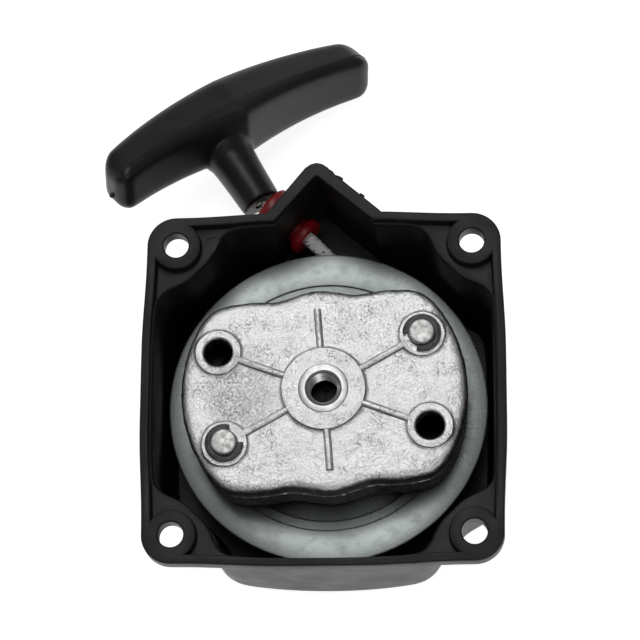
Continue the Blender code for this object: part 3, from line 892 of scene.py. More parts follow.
@dataclass
class Housing:
    """Square moulded cup with a flange, four screw bosses and the rope outlet."""

    palette: Palette
    height: float = 40.0
    half_corner: float = 36.5
    corner: float = 7.2
    half_bulge: float = 44.6
    rim: float = 2.4
    shelf_drop: float = 2.8
    ear_bottom: float = 35.4
    wall: float = 2.3
    floor: float = 2.6
    hole: float = 3.1
    boss: float = 6.1
    guide_in: Vector = field(default_factory=lambda: Vector((-5.2, 45.0, 17.4)))
    guide_angle: float = math.radians(140.4)
    guide_length: float = 13.6

    def corners(self) -> list[tuple[float, float]]:
        """Centres of the four screw holes."""
        return [(sx * self.half_corner, sy * self.half_corner) for sx in (1, -1) for sy in (1, -1)]

    def flange_plan(self) -> Outline:
        """Rounded square with gently bulging sides."""
        half, radius, side = self.half_corner, self.corner, self.half_bulge
        outer = half + radius
        quarter = [(0.0, side)]
        for x in (4.0, 8.0, 12.0, 16.0, 20.0, 24.0, 28.0, 32.0):
            ease = 0.5 - 0.5 * math.cos(math.pi * min(max((x - 9.0) / 26.0, 0.0), 1.0))
            quarter.append((x, side + (outer - side) * ease))
        for i in range(15):
            angle = math.radians(90.0 - 6.0 * i)
            quarter.append((half + radius * math.cos(angle), half + radius * math.sin(angle)))
        quarter += [(y, x) for x, y in reversed(quarter[:9])]
        return four_fold(quarter)

    def mouth_plan(self) -> Outline:
        """Opening of the cup, which steps in round the screw bosses."""
        half = [
            (0.0, 41.9), (12.0, 41.8), (19.0, 41.5), (22.6, 41.1), (24.7, 39.9),
            (26.0, 38.0), (26.9, 35.8), (27.9, 33.9), (29.2, 32.3),
        ]
        quarter = half + [(30.8, 30.8)] + [(y, x) for x, y in reversed(half)]
        return cut_corners(four_fold(quarter), 2)

    def chevron_plan(self, inner: bool) -> Outline:
        """Pointed bump on the outlet side, outside or inside."""
        if inner:
            return [
                (-12.6, 38.0), (-12.6, 41.9), (-2.6, 53.4), (-1.8, 54.0), (-1.0, 53.4),
                (12.6, 41.9), (12.6, 38.0),
            ]
        return [
            (-14.3, 36.0), (-14.3, 43.8), (-13.9, 44.8), (-5.6, 55.1), (-4.6, 56.3), (-3.3, 57.2),
            (-1.8, 57.6), (-0.3, 57.2), (1.0, 56.3), (2.2, 55.0), (13.9, 44.9), (14.8, 43.9),
            (14.8, 36.0),
        ]

    def outlet(self, along: float) -> Matrix:
        """Frame with +Z along the rope guide and the origin at its inner mouth."""
        way = Vector((math.cos(self.guide_angle), math.sin(self.guide_angle), 0.0))
        turn = way.to_track_quat("Z", "Y").to_matrix().to_4x4()
        return Matrix.Translation(self.guide_in + way * along) @ turn

    def outside(self) -> bmesh.types.BMesh:
        """Cup wall, flange, chevron and outlet boss as one solid."""
        outer = offset(self.mouth_plan(), self.wall)
        levels = (
            (1.0, 0.0, self.ear_bottom + 1.5), (0.992, 0.05, 22.0), (0.985, 0.1, 9.0),
            (0.982, 0.16, 6.0), (0.978, 0.22, 4.0), (0.971, 0.245, 2.6), (0.962, 0.26, 1.6),
            (0.951, 0.27, 0.9), (0.938, 0.28, 0.4), (0.926, 0.29, 0.12), (0.913, 0.3, 0.0),
        )
        cup = stack([(self.squared(scaled(outer, s), mix), z) for s, mix, z in levels])
        flange = slab(self.flange_plan(), self.ear_bottom, self.height, 0.45, 0.3)
        plan = self.chevron_plan(False)
        steps = (
            (3.2, 5.0), (2.0, 5.3), (0.9, 6.3), (0.2, 7.8), (0.0, 9.2), (0.0, self.height - 0.4)
        )
        rings = [([(x, y - drop) for x, y in plan], z) for drop, z in steps]
        rings.append((offset(plan, -0.12), self.height - 0.15))
        rings.append((offset(plan, -0.4), self.height))
        bump = stack(rings)
        boss = placed(column(6.3, -4.5, 3.4, top=0.4), self.outlet(5.9))
        return join(cup, flange, bump, boss)

    def squared(self, outline: Outline, mix: float) -> Outline:
        """Outline blended part of the way to the circle that touches its sides."""
        made = []
        for x, y in outline:
            ratio = 1.0 - mix + mix * (self.half_bulge - 0.5) / math.hypot(x, y)
            made.append((x * ratio, y * ratio))
        return made

    def inside(self) -> list[bmesh.types.BMesh]:
        """Bodies that hollow the solid out: shelf, cup and chevron notch."""
        top = self.height
        shelf = top - self.shelf_drop
        plan = offset(self.flange_plan(), -self.rim)
        rims = (
            (-0.3, shelf), (-0.1, shelf + 0.1), (0.0, shelf + 0.35), (0.08, top - 0.35),
            (0.2, top - 0.12), (0.45, top), (0.5, top + 2.0),
        )
        boss = self.boss
        collars = (
            (boss + 0.25, 30.0), (boss + 0.2, shelf + 0.2), (boss, top - 0.35),
            (boss - 0.12, top - 0.12), (boss - 0.4, top + 0.001), (boss - 0.4, top + 3.0),
        )
        bosses = [barrel(collars, 64, centre) for centre in self.corners()]
        pocket = cut(grown(plan, rims), *bosses)
        mouth = self.mouth_plan()
        taper = ((0.94, self.floor), (0.955, self.floor + 0.5), (0.968, self.floor + 2.2))
        lip = (
            (-0.02, shelf - 0.9), (0.1, shelf - 0.45), (0.35, shelf - 0.14), (0.8, shelf + 0.02),
            (0.8, top + 1.5),
        )
        hollow = stack(
            [(scaled(mouth, factor), z) for factor, z in taper]
            + [(offset(mouth, distance), z) for distance, z in lip]
        )
        edges = ((0.0, 8.0), (0.0, top - 0.4), (0.12, top - 0.14), (0.4, top + 0.01), (0.4, top + 1.5))
        notch = grown(self.chevron_plan(True), edges)
        return [pocket, hollow, notch]

    def bores(self) -> list[bmesh.types.BMesh]:
        """Screw holes, centre bore and rope outlet."""
        hole, top = self.hole, self.height
        levels = (
            (hole + 0.3, 30.0), (hole, self.ear_bottom + 0.3), (hole, top - 0.3),
            (hole + 0.35, top + 0.02), (hole + 0.35, top + 2.0),
        )
        tools = [barrel(levels, 56, centre) for centre in self.corners()]
        tools.append(column(3.3, 6.0, 20.0, count=40))
        tools.append(placed(column(4.0, -3.0, 13.5), self.outlet(0.0)))
        return tools

    def ribs(self) -> list[bmesh.types.BMesh]:
        """Centre post and the low spokes on the floor."""
        post = barrel(((11.0, 1.5), (11.0, 3.2), (9.6, 3.8), (9.0, 4.6), (9.0, 18.1), (8.7, 18.4)), 64)
        bars = []
        for i in range(4):
            bar = slab([(-1.2, 0.0), (1.2, 0.0), (1.2, 35.0), (-1.2, 35.0)], 1.5, 3.3)
            bars.append(placed(bar, Matrix.Rotation(math.radians(45.0 + 90.0 * i), 4, "Z")))
        return [post, *bars]

    def marks(self) -> tuple[list[bmesh.types.BMesh], list[bmesh.types.BMesh]]:
        """Ejector marks that sink in, and flash and nubs that stand out."""
        shelf = self.height - self.shelf_drop
        sunk = []
        for x, y, radius in ((-27.5, 37.4, 2.0), (37.6, -26.6, 2.0), (-38.0, -20.5, 1.5)):
            sunk.append(column(radius, shelf - 0.22, shelf + 0.6, (x, y), 36))
        proud = []
        for x, y, size, turn in (
            (3.9, 53.6, 0.5, -0.5), (1.6, 55.3, 0.5, -0.6), (9.6, 48.9, 0.35, -0.7),
            (-44.0, -3.5, 0.4, 1.6), (-20.0, -43.9, 0.4, 0.0), (22.0, -44.0, 0.35, 0.0),
            (44.0, 12.0, 0.35, 1.6),
        ):
            nub = bmesh.new()
            bmesh.ops.create_icosphere(nub, subdivisions=2, radius=size)
            bmesh.ops.scale(nub, vec=(2.4, 0.8, 0.35), verts=nub.verts)
            matrix = Matrix.Translation((x, y, self.height - 0.55)) @ Matrix.Rotation(turn, 4, "Z")
            proud.append(placed(nub, matrix))
        return sunk, proud

    def build(self) -> None:
        """Makes the housing moulding and the red rope bush."""
        body = cut(self.outside(), *self.inside())
        body = join(body, *self.ribs())
        sunk, proud = self.marks()
        body = cut(body, *self.bores(), *sunk)
        body = join(body, *proud)
        piece(
            body, "housing_moulding", self.palette[Slot.HOUSING], Body.HOUSING,
            ["housing"], 28.0,
        )
        self.build_bush()

    def build_bush(self) -> None:
        """Flanged bush with rounded lips that the rope runs through."""
        end, wide, inner, bore, tube = self.guide_length, 6.2, 4.9, 2.1, 3.7
        lip = [
            (bore + 1.0 - math.sin(a), 0.95 - 0.95 * math.cos(a) + 0.1)
            for a in (0.0, 0.4, 0.8, 1.2, 1.57)
        ]
        lip_out = [(r, end - z + 0.1) for r, z in reversed(lip)]
        profile = (
            lip
            + lip_out
            + [
                (wide - 1.2, end), (wide - 0.5, end - 0.2), (wide - 0.12, end - 0.6),
                (wide, end - 1.2), (wide, end - 2.3), (wide - 0.15, end - 2.8),
                (wide - 0.5, end - 3.0), (tube, end - 3.0), (tube, 2.4), (inner - 0.35, 2.4),
                (inner - 0.1, 2.25), (inner, 1.9), (inner, 0.8), (inner - 0.15, 0.3),
                (inner - 0.6, 0.0), (bore + 1.3, 0.0),
            ]
        )
        body = placed(turned(profile, 96), self.outlet(0.0))
        piece(body, "outlet_bush", self.palette[Slot.GUIDE], Body.HOUSING, ["rope_guide"])


# ---------------------------------------------------------------- reel and rope


@dataclass
class Reel:
    """Rope reel: stepped disc with a ratchet collar of eight notches."""

    palette: Palette
    face: float = 20.4
    radius: float = 39.8
    collar: float = 15.5
    collar_top: float = 30.0
    notches: int = 8

    def build(self) -> None:
        """Makes the reel."""
        face, collar, top = self.face, self.collar, self.collar_top
        profile = [
            (9.35, 5.0), (11.2, 5.0), (11.2, 11.2), (33.0, 11.6), (36.5, 11.6), (36.5, 12.8),
            (13.4, 13.2), (13.4, 17.4), (28.0, 17.4), (29.2, 18.9), (self.radius - 0.5, 18.9),
            (self.radius - 0.12, 19.1), (self.radius, 19.5), (self.radius, face - 0.5),
            (self.radius - 0.14, face - 0.16), (self.radius - 0.5, face), (31.9, face),
            (31.7, face - 0.08), (31.5, face - 0.42), (31.3, face - 0.5), (29.5, face - 0.5),
            (29.25, face - 0.6), (28.9, face - 1.75), (28.6, face - 1.9), (collar + 0.4, face - 1.9),
            (collar, face - 1.5), (collar, top - 0.4), (collar - 0.4, top), (12.6, top),
            (12.6, 18.9), (9.35, 18.9),
        ]
        body = turned(profile, 180)
        tools = []
        for i in range(self.notches):
            shape = [(13.2, -0.1), (17.0, -0.8), (17.0, 7.2), (14.6, 6.2), (13.2, 2.6)]
            turn = math.radians(360.0 / self.notches * i - 4.8)
            tools.append(placed(slab(shape, face + 0.4, top + 1.0), Matrix.Rotation(turn, 4, "Z")))
        hole = column(1.8, 10.0, 14.0, (18.6, 0.0), 24)
        tools.append(placed(hole, Matrix.Rotation(math.radians(224.4), 4, "Z")))
        piece(
            cut(body, *tools), "reel_disc", self.palette[Slot.REEL], Body.REEL,
            ["rope_reel"],
        )


@dataclass
class Braid:
    """Rope braided from two crossing families of strands over a core."""

    radius: float = 1.68
    carriers: int = 8
    pitch: float = 14.0
    yarn: float = 0.46
    sides: int = 6
    step: float = 0.3

    def frames(self, path: Sequence[Vector]) -> list[tuple[Vector, Vector, Vector, float]]:
        """Even points along a path, each with two cross directions and its distance.

        Args:
            path: the rope's centre line.

        Returns:
            (point, normal, binormal, distance) in order.
        """
        lengths = [0.0]
        for a, b in zip(path, path[1:]):
            lengths.append(lengths[-1] + (b - a).length)
        count = max(int(lengths[-1] / self.step), 2)
        made = []
        normal = None
        for i in range(count + 1):
            at = lengths[-1] * i / count
            k = max(j for j in range(len(path) - 1) if lengths[j] <= at + 1e-9)
            share = (at - lengths[k]) / max(lengths[k + 1] - lengths[k], 1e-9)
            along = (path[k + 1] - path[k]).normalized()
            point = path[k].lerp(path[k + 1], share)
            if normal is None:
                normal = along.orthogonal().normalized()
            normal = (normal - along * normal.dot(along)).normalized()
            made.append((point, normal.copy(), along.cross(normal), at))
        return made

    def strand(self, frames: list, hand: int, index: int) -> list[Vector]:
        """Centre line of one strand as it weaves over and under the others."""
        points = []
        for point, normal, binormal, at in frames:
            turn = hand * FULL_TURN * at / self.pitch + FULL_TURN * index / self.carriers
            crossing = self.carriers * FULL_TURN * at / self.pitch
            weave = math.sin(crossing + hand * math.pi / 2.0 + math.pi * index)
            reach = self.radius - self.yarn * 0.86 + 0.13 * weave * hand
            points.append(point + reach * (math.cos(turn) * normal + math.sin(turn) * binormal))
        return points

    def mesh(self, path: Sequence[Vector]) -> tuple[bmesh.types.BMesh, int]:
        """Strands and core along a path, with the dark colour marked on a few strands and, as painted
        shade, on the core.

        Args:
            path: the rope's centre line in millimetres.

        Returns:
            The mesh and its number of strands.
        """
        frames = self.frames(path)
        whole = bmesh.new()
        layer = whole.verts.layers.float.new("tracer_and_gap_shade")
        # The core takes 0.3 of the dark strand colour as painted shade in the gaps between the strands.
        swept(whole, [f[0] for f in frames], self.radius * 0.74, 12, layer, lambda i: 0.3)
        for hand in (1, -1):
            for index in range(self.carriers):
                dark = (hand == 1 and index in (2, 6)) or (hand == -1 and index == 5)
                line = self.strand(frames, hand, index)
                swept(
                    whole, line, self.yarn, self.sides, layer,
                    lambda i, d=dark: 0.9 if d and (i // 9) % 2 == 0 else 0.0,
                )
        bmesh.ops.recalc_face_normals(whole, faces=whole.faces)
        return whole, 2 * self.carriers


@dataclass
class Rope:
    """Starter rope from the reel through the bush to the handle."""

    palette: Palette
    housing: Housing
    wound_out: float = 27.6
    wound_height: float = 15.5
    braid: Braid = field(default_factory=Braid)

    def leave(self) -> Vector:
        """Where the straight rope leaves the winding."""
        mouth = self.housing.guide_in
        bearing = math.atan2(mouth.y, mouth.x)
        angle = bearing - math.acos(self.wound_out / math.hypot(mouth.x, mouth.y))
        reach = self.wound_out
        return Vector((reach * math.cos(angle), reach * math.sin(angle), self.wound_height))

    def build(self, handle: "Handle") -> None:
        """Makes the rope between the reel and the handle."""
        start = self.leave()
        mouth = self.housing.guide_in.copy()
        bend = self.housing.guide_angle
        along = Vector((math.cos(bend), math.sin(bend), 0.0))
        first = (mouth - start).normalized()
        corner = [
            start + first * 1.2,
            mouth - first * 2.0,
            mouth - first * 0.9 + along * 0.2,
            mouth - first * 0.15 + along * 0.75,
            mouth + along * 2.0,
            mouth + along * (self.housing.guide_length - 1.0),
            handle.stem() @ Vector((0.0, -0.5, 0.0)),
        ]
        mesh, strands = self.braid.mesh(corner)
        bmesh.ops.scale(mesh, vec=(METRES, METRES, METRES), verts=mesh.verts)
        made = as_object(mesh, "rope_lead")
        made.data.shade_smooth()
        made.data.materials.append(self.palette[Slot.ROPE])
        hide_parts("rope_run")
        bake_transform(made)
        LOG.info("rope_lead: %d strands", strands)


# ---------------------------------------------------------------- rotor


@dataclass
class Rotor:
    """Die-cast driver plate with two spring-loaded pawls on pins."""

    palette: Palette
    top: float = 36.6
    bottom: float = 21.0
    radius: float = 35.1
    half_width: float = 24.3
    turn: float = math.radians(4.6)
    pin_at: tuple[float, float] = (25.1, 11.6)
    pin: float = 3.2
    pin_hole: float = 3.42
    clip_low: float = 37.7
    hub: float = 10.3
    boss: float = 5.65

    def plan(self, inset: float) -> Outline:
        """Disc with two flats, each with a small swell in its middle."""
        points = []
        count = 220
        for i in range(count):
            angle = FULL_TURN * (i + 0.5) / count
            c, s = math.cos(angle), math.sin(angle)
            x = self.half_width * c / max(abs(s), 0.2)
            swell = 1.4 * math.exp(-((x / 5.5) ** 2))
            dip = 0.5 * math.exp(-(((abs(x) - 10.5) / 3.5) ** 2))
            flat = (self.half_width - inset + swell - dip) / max(abs(s), 1e-3)
            reach = ((1.0 / flat) ** 18 + (1.0 / (self.radius - inset)) ** 18) ** (-1.0 / 18.0)
            points.append((reach * c, reach * s))
        return points

    def pins(self) -> list[tuple[float, float]]:
        """Centres of the two pins, then of the two open holes."""
        x, y = self.pin_at
        return [(x, y), (-x, -y), (-x, y), (x, -y)]

    def side(self, index: int) -> Matrix:
        """Frame of one pin, with its origin on the pin's axis."""
        turn = Matrix.Rotation(self.turn + math.pi * index, 4, "Z")
        return turn @ Matrix.Translation((*self.pin_at, 0.0))

    def rib(self, near: float, far: float, angle: float) -> bmesh.types.BMesh:
        """Raised rib with a rounded back that runs out from the hub."""
        top = self.top
        plan = [(-0.72, near), (0.72, near), (0.72, far), (-0.72, far)]
        taper = ((1.5, top - 0.6), (1.12, top + 0.45), (0.9, top + 0.8), (0.45, top + 0.98))
        levels = [([(x * share, y) for x, y in plan], z) for share, z in taper]
        return placed(stack(levels), Matrix.Rotation(angle, 4, "Z"))

    def casting(self) -> bmesh.types.BMesh:
        """Plate with hub and bosses."""
        top, low = self.top, self.bottom
        levels = (
            (0.6, low), (0.3, low + 0.3), (0.3, 29.3), (1.4, 29.6), (1.4, 30.5), (0.1, 30.8),
            (0.0, top - 2.1), (0.1, top - 1.5), (0.35, top - 0.95), (0.75, top - 0.5),
            (1.3, top - 0.2), (1.9, top - 0.05), (2.5, top),
        )
        body = stack([(self.plan(d), z) for d, z in levels])
        hollow = stack([(self.plan(2.9), low - 1.0), (self.plan(2.9), top - 3.4)])
        body = cut(body, hollow)
        hub = ((10.6, 31.4), (10.5, top), (10.25, top + 0.7), (9.8, top + 1.1))
        boss = ((5.9, top - 2.0), (5.8, top + 0.1), (5.5, top + 0.6), (5.0, top + 0.85))
        extras = [barrel(hub, 72), *(barrel(boss, 48, centre) for centre in self.pins())]
        return join(body, *extras)

    def ribs(self) -> list[bmesh.types.BMesh]:
        """Four ribs from the hub to the bosses and two short ones across the plate."""
        made = [self.rib(8.0, 20.4, 0.0), self.rib(8.0, 20.4, math.pi)]
        for x, y in self.pins():
            made.append(self.rib(8.5, math.hypot(x, y) - 4.4, math.atan2(y, x) - math.pi / 2.0))
        return made

    def build(self) -> None:
        """Makes the casting, its threaded insert, the pins and the clips."""
        top, hole = self.top, self.pin_hole
        body = regrown(self.casting(), 0.38, 1)
        crisp = [slab(circle(self.hub, 96), top - 1.0, top + 1.15, 0.18)]
        for centre in self.pins():
            crisp.append(slab(circle(self.boss, 64, centre), top - 1.0, top + 0.85, 0.25))
        body = join(body, *crisp, *self.ribs())
        tools = [column(hole, self.bottom - 1.0, top + 4.0, c, 56) for c in self.pins()]
        lips = (
            (hole - 0.1, top - 0.2), (hole + 0.12, top + 0.45), (hole + 0.55, top + 0.9),
            (hole + 0.6, top + 2.0),
        )
        tools += [barrel(lips, 56, centre) for centre in self.pins()[2:]]
        tools.append(column(6.15, 28.0, top + 4.0, count=96))
        body = cut(body, *tools)
        body = roughened(body, self.skin_height)
        placed(body, Matrix.Rotation(self.turn, 4, "Z"))
        piece(body, "rotor_casting", self.palette[Slot.CAST], Body.ROTOR, ["rotor"], 50.0)
        self.build_insert()
        for index in (0, 1):
            self.build_pin(index)
            self.build_clip(index)

    def skin_height(self, place: Vector, normal: Vector) -> float:
        """Height of the cast skin at a point: lumpier on the edges than on the face."""
        if math.hypot(place.x, place.y) < 7.2:
            return 0.0
        for cx, cy in self.pins():
            if math.hypot(place.x - cx, place.y - cy) < self.pin_hole + 0.25:
                return 0.0
        lumps = noise.noise(place * 0.55)
        grit = noise.noise(place * 1.7 + Vector((9.0, 3.0, 5.0)))
        edge = 1.0 - abs(normal.z)
        return lumps * (0.05 + 0.10 * edge) + grit * (0.02 + 0.06 * edge)

    def build_insert(self) -> None:
        """Steel bush cast into the hub, with its thread cut as a real spiral."""
        top, low, minor, major, pitch = self.top + 1.4, 31.5, 3.38, 4.05, 1.25
        profile = [
            (major, low), (6.1, low), (6.1, top - 0.28), (6.04, top - 0.2), (5.92, top - 0.16),
            (4.55, top - 0.16), (4.45, top - 0.22), (major, top - 0.72),
        ]
        body = turned(profile, 96)
        thread = bmesh.new()
        turns = int((top - 0.9 - low) / pitch)
        points = [(major + 0.12, 0.08), (minor, 0.5), (minor, 0.68), (major + 0.12, 1.1)]
        verts = [thread.verts.new((r, 0.0, low + z)) for r, z in points]
        edges = [thread.edges.new((verts[i - 1], verts[i])) for i in range(4)]
        steps = 48 * turns
        made = bmesh.ops.spin(
            thread, geom=verts + edges, cent=(0.0, 0.0, 0.0), axis=(0.0, 0.0, 1.0),
            dvec=(0.0, 0.0, pitch * turns / steps), angle=FULL_TURN * turns, steps=steps,
        )
        bmesh.ops.edgeloop_fill(thread, edges=edges)
        last = [g for g in made["geom_last"] if isinstance(g, bmesh.types.BMEdge)]
        bmesh.ops.edgeloop_fill(thread, edges=last)
        bmesh.ops.recalc_face_normals(thread, faces=thread.faces)
        body = join(body, thread)
        placed(body, Matrix.Rotation(self.turn, 4, "Z"))
        piece(
            body, "threaded_insert", self.palette.insert, Body.ROTOR,
            ["crank_thread_insert"], 30.0,
        )

    def build_pin(self, index: int) -> None:
        """Pawl pin: head, journal, groove for the clip and a sheared end."""
        low = self.clip_low
        profile = [
            (0.0, 24.3), (3.8, 24.3), (4.1, 24.6), (4.1, 25.6), (2.4, 25.6), (2.4, 30.2),
            (self.pin, 30.2), (self.pin, low - 0.15), (2.5, low - 0.15), (2.5, low + 0.9),
            (self.pin, low + 0.9), (self.pin, low + 1.55), (self.pin - 0.08, low + 1.78),
            (self.pin - 0.26, low + 1.94), (self.pin - 0.5, low + 2.0), (0.0, low + 2.0),
        ]
        body = placed(turned(profile, 72), self.side(index))
        name = f"pawl_pivot_{index + 1}"
        piece(body, name, self.palette[Slot.PIN], Body.ROTOR, [f"pawl_pin_{index + 1}"])

    def build_clip(self, index: int) -> None:
        """Retaining clip with three inner teeth and an open mouth towards the hub."""
        outer, inner = [], []
        count = 64
        gap = math.radians(36.0)
        for i in range(count + 1):
            a = gap + (FULL_TURN - 2.0 * gap) * i / count
            teeth = max(math.cos(1.5 * (a - math.pi)) ** 2, 0.0) if abs(a - math.pi) > 0.2 else 1.0
            outer.append((4.7 * math.cos(a), 4.7 * math.sin(a)))
            reach = 2.75 + 0.75 * (1.0 - teeth)
            inner.append((reach * math.cos(a), reach * math.sin(a)))
        shape = outer + inner[::-1]
        body = slab(shape, self.clip_low, self.clip_low + 0.75)
        soften(body, 0.1, 50.0)
        matrix = self.side(index) @ Matrix.Rotation(math.radians(213.0), 4, "Z")
        name = f"retaining_clip_{index + 1}"
        piece(
            placed(body, matrix), name, self.palette[Slot.DARK], Body.ROTOR,
            [f"pawl_clip_{index + 1}"],
        )


# ---------------------------------------------------------------- handle


@dataclass
class Handle:
    """Moulded T handle on the end of the rope."""

    palette: Palette
    stem_end: Vector = field(default_factory=lambda: Vector((-17.4, 54.6, 17.6)))
    stem_yaw: float = math.radians(122.0)
    centre: Vector = field(default_factory=lambda: Vector((-25.7, 78.0, 18.6)))
    yaw: float = math.radians(132.0)
    pitch: float = math.radians(-20.0)
    twist: float = math.radians(21.5)
    length: float = 79.8
    depth: float = 16.6
    depth_end: float = 10.8
    sag: float = 7.2
    thick: float = 16.8
    thick_end: float = 13.0
    end_radius: float = 4.8
    roundness: float = 0.34
    stem_length: float = 17.0
    stem_radius: float = 5.25
    root_radius: float = 6.6

    def frame(self, yaw: float, pitch: float, origin: Vector) -> Matrix:
        """Frame with X along the bar, Y away from the stem and Z through the thickness."""
        out = Vector(
            (math.cos(yaw) * math.cos(pitch), math.sin(yaw) * math.cos(pitch), math.sin(pitch))
        )
        level = Vector((math.sin(yaw), -math.cos(yaw), 0.0))
        bar = level * math.cos(self.twist) - level.cross(out) * math.sin(self.twist)
        turn = Matrix((bar, out, bar.cross(out))).transposed().to_4x4()
        return Matrix.Translation(origin) @ turn

    def stem(self) -> Matrix:
        """Frame of the stem, with its origin at the open end."""
        return self.frame(self.stem_yaw, 0.0, self.stem_end)

    def bar(self) -> Matrix:
        """Frame of the grip bar, with its origin in its middle."""
        return self.frame(self.yaw, self.pitch, self.centre)

    def section(self, x: float, sides: int = 72) -> list[Vector]:
        """Rounded-box section of the bar, with a bowed back and a dished inner side."""
        middle, deep, thick = self.box_at(x)
        points = []
        for i in range(sides):
            a = FULL_TURN * (i + 0.5) / sides
            c = math.copysign(abs(math.cos(a)) ** self.roundness, math.cos(a))
            s = math.copysign(abs(math.sin(a)) ** self.roundness, math.sin(a))
            points.append(Vector((x, middle + deep * c, thick * s)))
        return points

    def box_at(self, x: float) -> tuple[float, float, float]:
        """Middle, half depth and half thickness of the bar at a place along it."""
        half = self.length / 2.0
        u = abs(x) / half
        over = max(0.0, (abs(x) - (half - self.end_radius)) / self.end_radius)
        shrink = self.end_radius * (1.0 - math.sqrt(max(0.0, 1.0 - over * over))) * 0.88
        back = self.depth / 2.0 - self.sag * u * u
        depth = self.depth_end + (self.depth - self.depth_end) * (1.0 - u) ** 1.3
        deep = depth / 2.0 - shrink
        thick = (self.thick + (self.thick_end - self.thick) * u) / 2.0 - shrink
        return back - depth / 2.0, deep, thick

    def seam(self) -> list[Vector]:
        """Line where the two halves of the mould met, along the top of the bar."""
        half = self.length / 2.0
        points = []
        for i in range(97):
            x = -half + 0.9 + (self.length - 1.8) * i / 96
            middle, deep, thick = self.box_at(x)
            y = -3.0 - 3.0 * (x / half) ** 2
            share = min(abs(y - middle) / deep, 0.999)
            power = 2.0 / self.roundness
            rise = thick * (1.0 - share ** power) ** (1.0 / power)
            points.append(Vector((x, y, rise - 0.13)))
        return points

    def build(self) -> None:
        """Makes the grip."""
        half = self.length / 2.0
        reach = self.end_radius
        cap = [half - reach * (1.0 - math.sin(math.radians(a))) for a in range(90, 0, -9)]
        inner = [half * (0.9 - 0.9 * i / 15) for i in range(15)]
        right = cap + [x for x in inner if x < cap[-1] - 0.5]
        xs = right + [0.0] + [-x for x in reversed(right)]
        bar = placed(skin([self.section(x) for x in xs]), self.bar())
        root, thin, thick = self.stem_length, self.stem_radius, self.root_radius
        profile = [
            (0.0, 0.0), (thin - 0.5, 0.0), (thin - 0.1, 0.2), (thin, 0.7), (thin + 0.3, root * 0.4),
            (thin + 0.55, root * 0.65), (thin + 0.85, root * 0.85), (thick + 0.5, root),
            (thick + 0.6, root + 5.0), (0.0, root + 5.0),
        ]
        lay = Matrix.Rotation(math.radians(-90.0), 4, "X")
        stem = placed(turned(profile, 72), self.stem() @ lay)
        body = regrown(join(bar, stem), 0.45, 4)
        bore = placed(column(1.9, -2.0, root + 12.0, count=32), self.stem() @ lay)
        pocket = placed(column(4.6, root + 3.6, root + 30.0, count=48), self.stem() @ lay)
        body = cut(body, bore, pocket)
        swept(body, [self.bar() @ point for point in self.seam()], 0.2, 8)
        nub = bmesh.new()
        bmesh.ops.create_icosphere(nub, subdivisions=2, radius=0.75)
        placed(nub, self.bar() @ Matrix.Translation((-half - 0.1, -4.6, -2.0)))
        body = join(body, nub)
        piece(
            body, "grip_moulding", self.palette[Slot.HANDLE], Body.HANDLE,
            ["handle_grip"], 50.0,
        )


# ---------------------------------------------------------------- carried-over nodes


@dataclass
class Hidden:
    """Frame nodes whose shape is right, which only need their finish."""

    palette: Palette
    finishes: dict[str, Slot] = field(
        default_factory=lambda: {
            "spring_case": Slot.PIN,
            "recoil_spring": Slot.SPRING,
            "reel_washer": Slot.PIN,
            "reel_screw": Slot.DARK,
            "rope_winding": Slot.ROPE,
            "pawl_1": Slot.DARK,
            "pawl_2": Slot.DARK,
            "pawl_spring_1": Slot.SPRING,
            "pawl_spring_2": Slot.SPRING,
            "rope_in_handle": Slot.ROPE,
            "knot_washer": Slot.PIN,
            "handle_knot": Slot.ROPE,
        }
    )

    def dress(self, nodes: dict[str, bpy.types.Object]) -> None:
        """Puts each node's finish on it."""
        for name, slot in self.finishes.items():
            node = nodes[name]
            node.data.materials.clear()
            node.data.materials.append(self.palette[slot])
            LOG.info("%s: finish %s", name, slot.value)


# ---------------------------------------------------------------- studio


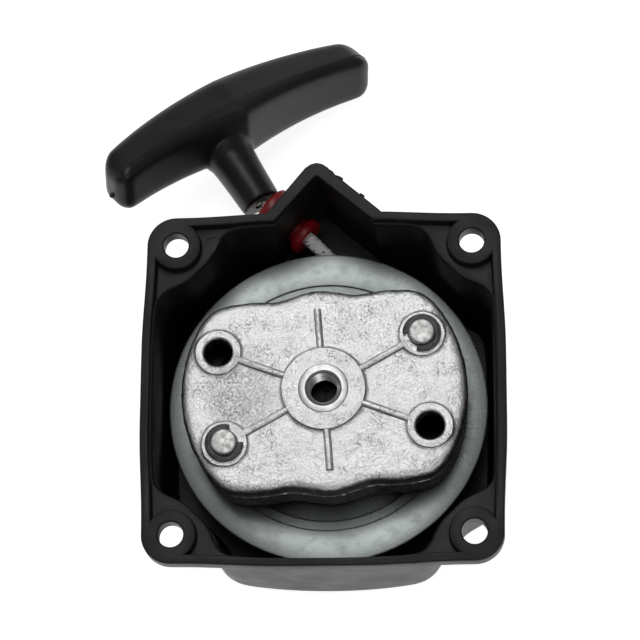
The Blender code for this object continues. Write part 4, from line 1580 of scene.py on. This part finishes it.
@dataclass
class Studio:
    """Pale floor, soft light and the camera."""

    lens: float = 162.8
    surroundings: float = 0.17
    floor_glow: float = 0.84
    lamps: tuple = (
        ("overhead", (-0.09, 0.48, 1.2), (0.4, 1.3), 4.6),
        ("front_fill", (0.5, -0.8, 1.0), (0.45, 0.45), 1.8),
        ("left_strip", (-1.1, 0.15, 0.55), (0.12, 0.9), 0.6),
    )
    camera_at: Vector = field(default_factory=lambda: Vector((48.4, -187.9, 715.4)))
    right: Vector = field(default_factory=lambda: Vector((0.9975, 0.0047, -0.0711)))
    up: Vector = field(default_factory=lambda: Vector((0.016, 0.9573, 0.2887)))

    def build(self) -> None:
        """Makes the floor, the lights, the surroundings and the camera."""
        self.build_floor()
        self.build_lights()
        self.build_camera()

    def build_floor(self) -> None:
        """Wide pale floor under the closed end."""
        mesh = bmesh.new()
        bmesh.ops.create_grid(mesh, x_segments=2, y_segments=2, size=4000.0)
        bmesh.ops.translate(mesh, vec=(0.0, 0.0, -0.05), verts=mesh.verts)
        bmesh.ops.scale(mesh, vec=(METRES, METRES, METRES), verts=mesh.verts)
        floor = as_object(mesh, "floor")
        paint = bpy.data.materials.new("floor_paint")
        paint.use_nodes = True
        shader = paint.node_tree.nodes["Principled BSDF"]
        shader.inputs["Base Color"].default_value = (0.9, 0.9, 0.9, 1.0)
        shader.inputs["Roughness"].default_value = 0.9
        shader.inputs["Emission Color"].default_value = (1.0, 1.0, 1.0, 1.0)
        shader.inputs["Emission Strength"].default_value = self.floor_glow
        shader.inputs["Specular IOR Level"].default_value = 0.1
        floor.data.materials.append(paint)

    def area(
        self, name: str, at: Vector, target: Vector, size: tuple[float, float], power: float
    ) -> None:
        """Adds a rectangular soft light that faces a point, in metres and watts."""
        data = bpy.data.lights.new(name, "AREA")
        data.shape = "RECTANGLE"
        data.size, data.size_y = size
        data.energy = power
        lamp = bpy.data.objects.new(name, data)
        lamp.location = at
        lamp.rotation_euler = (target - at).to_track_quat("-Z", "Y").to_euler()
        bpy.context.scene.collection.objects.link(lamp)

    def build_lights(self) -> None:
        """Three soft lights and even surroundings."""
        world = bpy.data.worlds.new("surroundings")
        world.use_nodes = True
        back = world.node_tree.nodes["Background"]
        back.inputs["Color"].default_value = (1.0, 1.0, 1.0, 1.0)
        back.inputs["Strength"].default_value = self.surroundings
        scene = bpy.context.scene
        scene.world = world
        scene.view_settings.view_transform = "Standard"
        middle = Vector((0.0, 0.02, 0.03))
        for name, at, size, power in self.lamps:
            self.area(name, Vector(at), middle, size, power)

    def build_camera(self) -> None:
        """Long lens above and a little in front of the flange."""
        data = bpy.data.cameras.new("camera")
        data.lens = self.lens
        data.sensor_width = 36.0
        data.clip_start = 0.01
        data.clip_end = 20.0
        camera = bpy.data.objects.new("camera", data)
        right = self.right.normalized()
        up = (self.up - right * self.up.dot(right)).normalized()
        turn = Matrix((right, up, right.cross(up))).transposed().to_4x4()
        camera.matrix_world = Matrix.Translation(self.camera_at * METRES) @ turn
        bpy.context.scene.collection.objects.link(camera)
        bpy.context.scene.camera = camera


def main() -> None:
    """Builds every piece in order."""
    logging.basicConfig(level=logging.INFO, format="%(name)s %(message)s")
    for item in list(bpy.data.objects):
        bpy.data.objects.remove(item, do_unlink=True)
    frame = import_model()
    palette = Palette()
    Studio().build()
    housing = Housing(palette)
    handle = Handle(palette)
    housing.build()
    Reel(palette).build()
    Rope(palette, housing).build(handle)
    Rotor(palette).build()
    handle.build()
    Hidden(palette).dress(frame["nodes"])


if __name__ == "__main__":
    main()
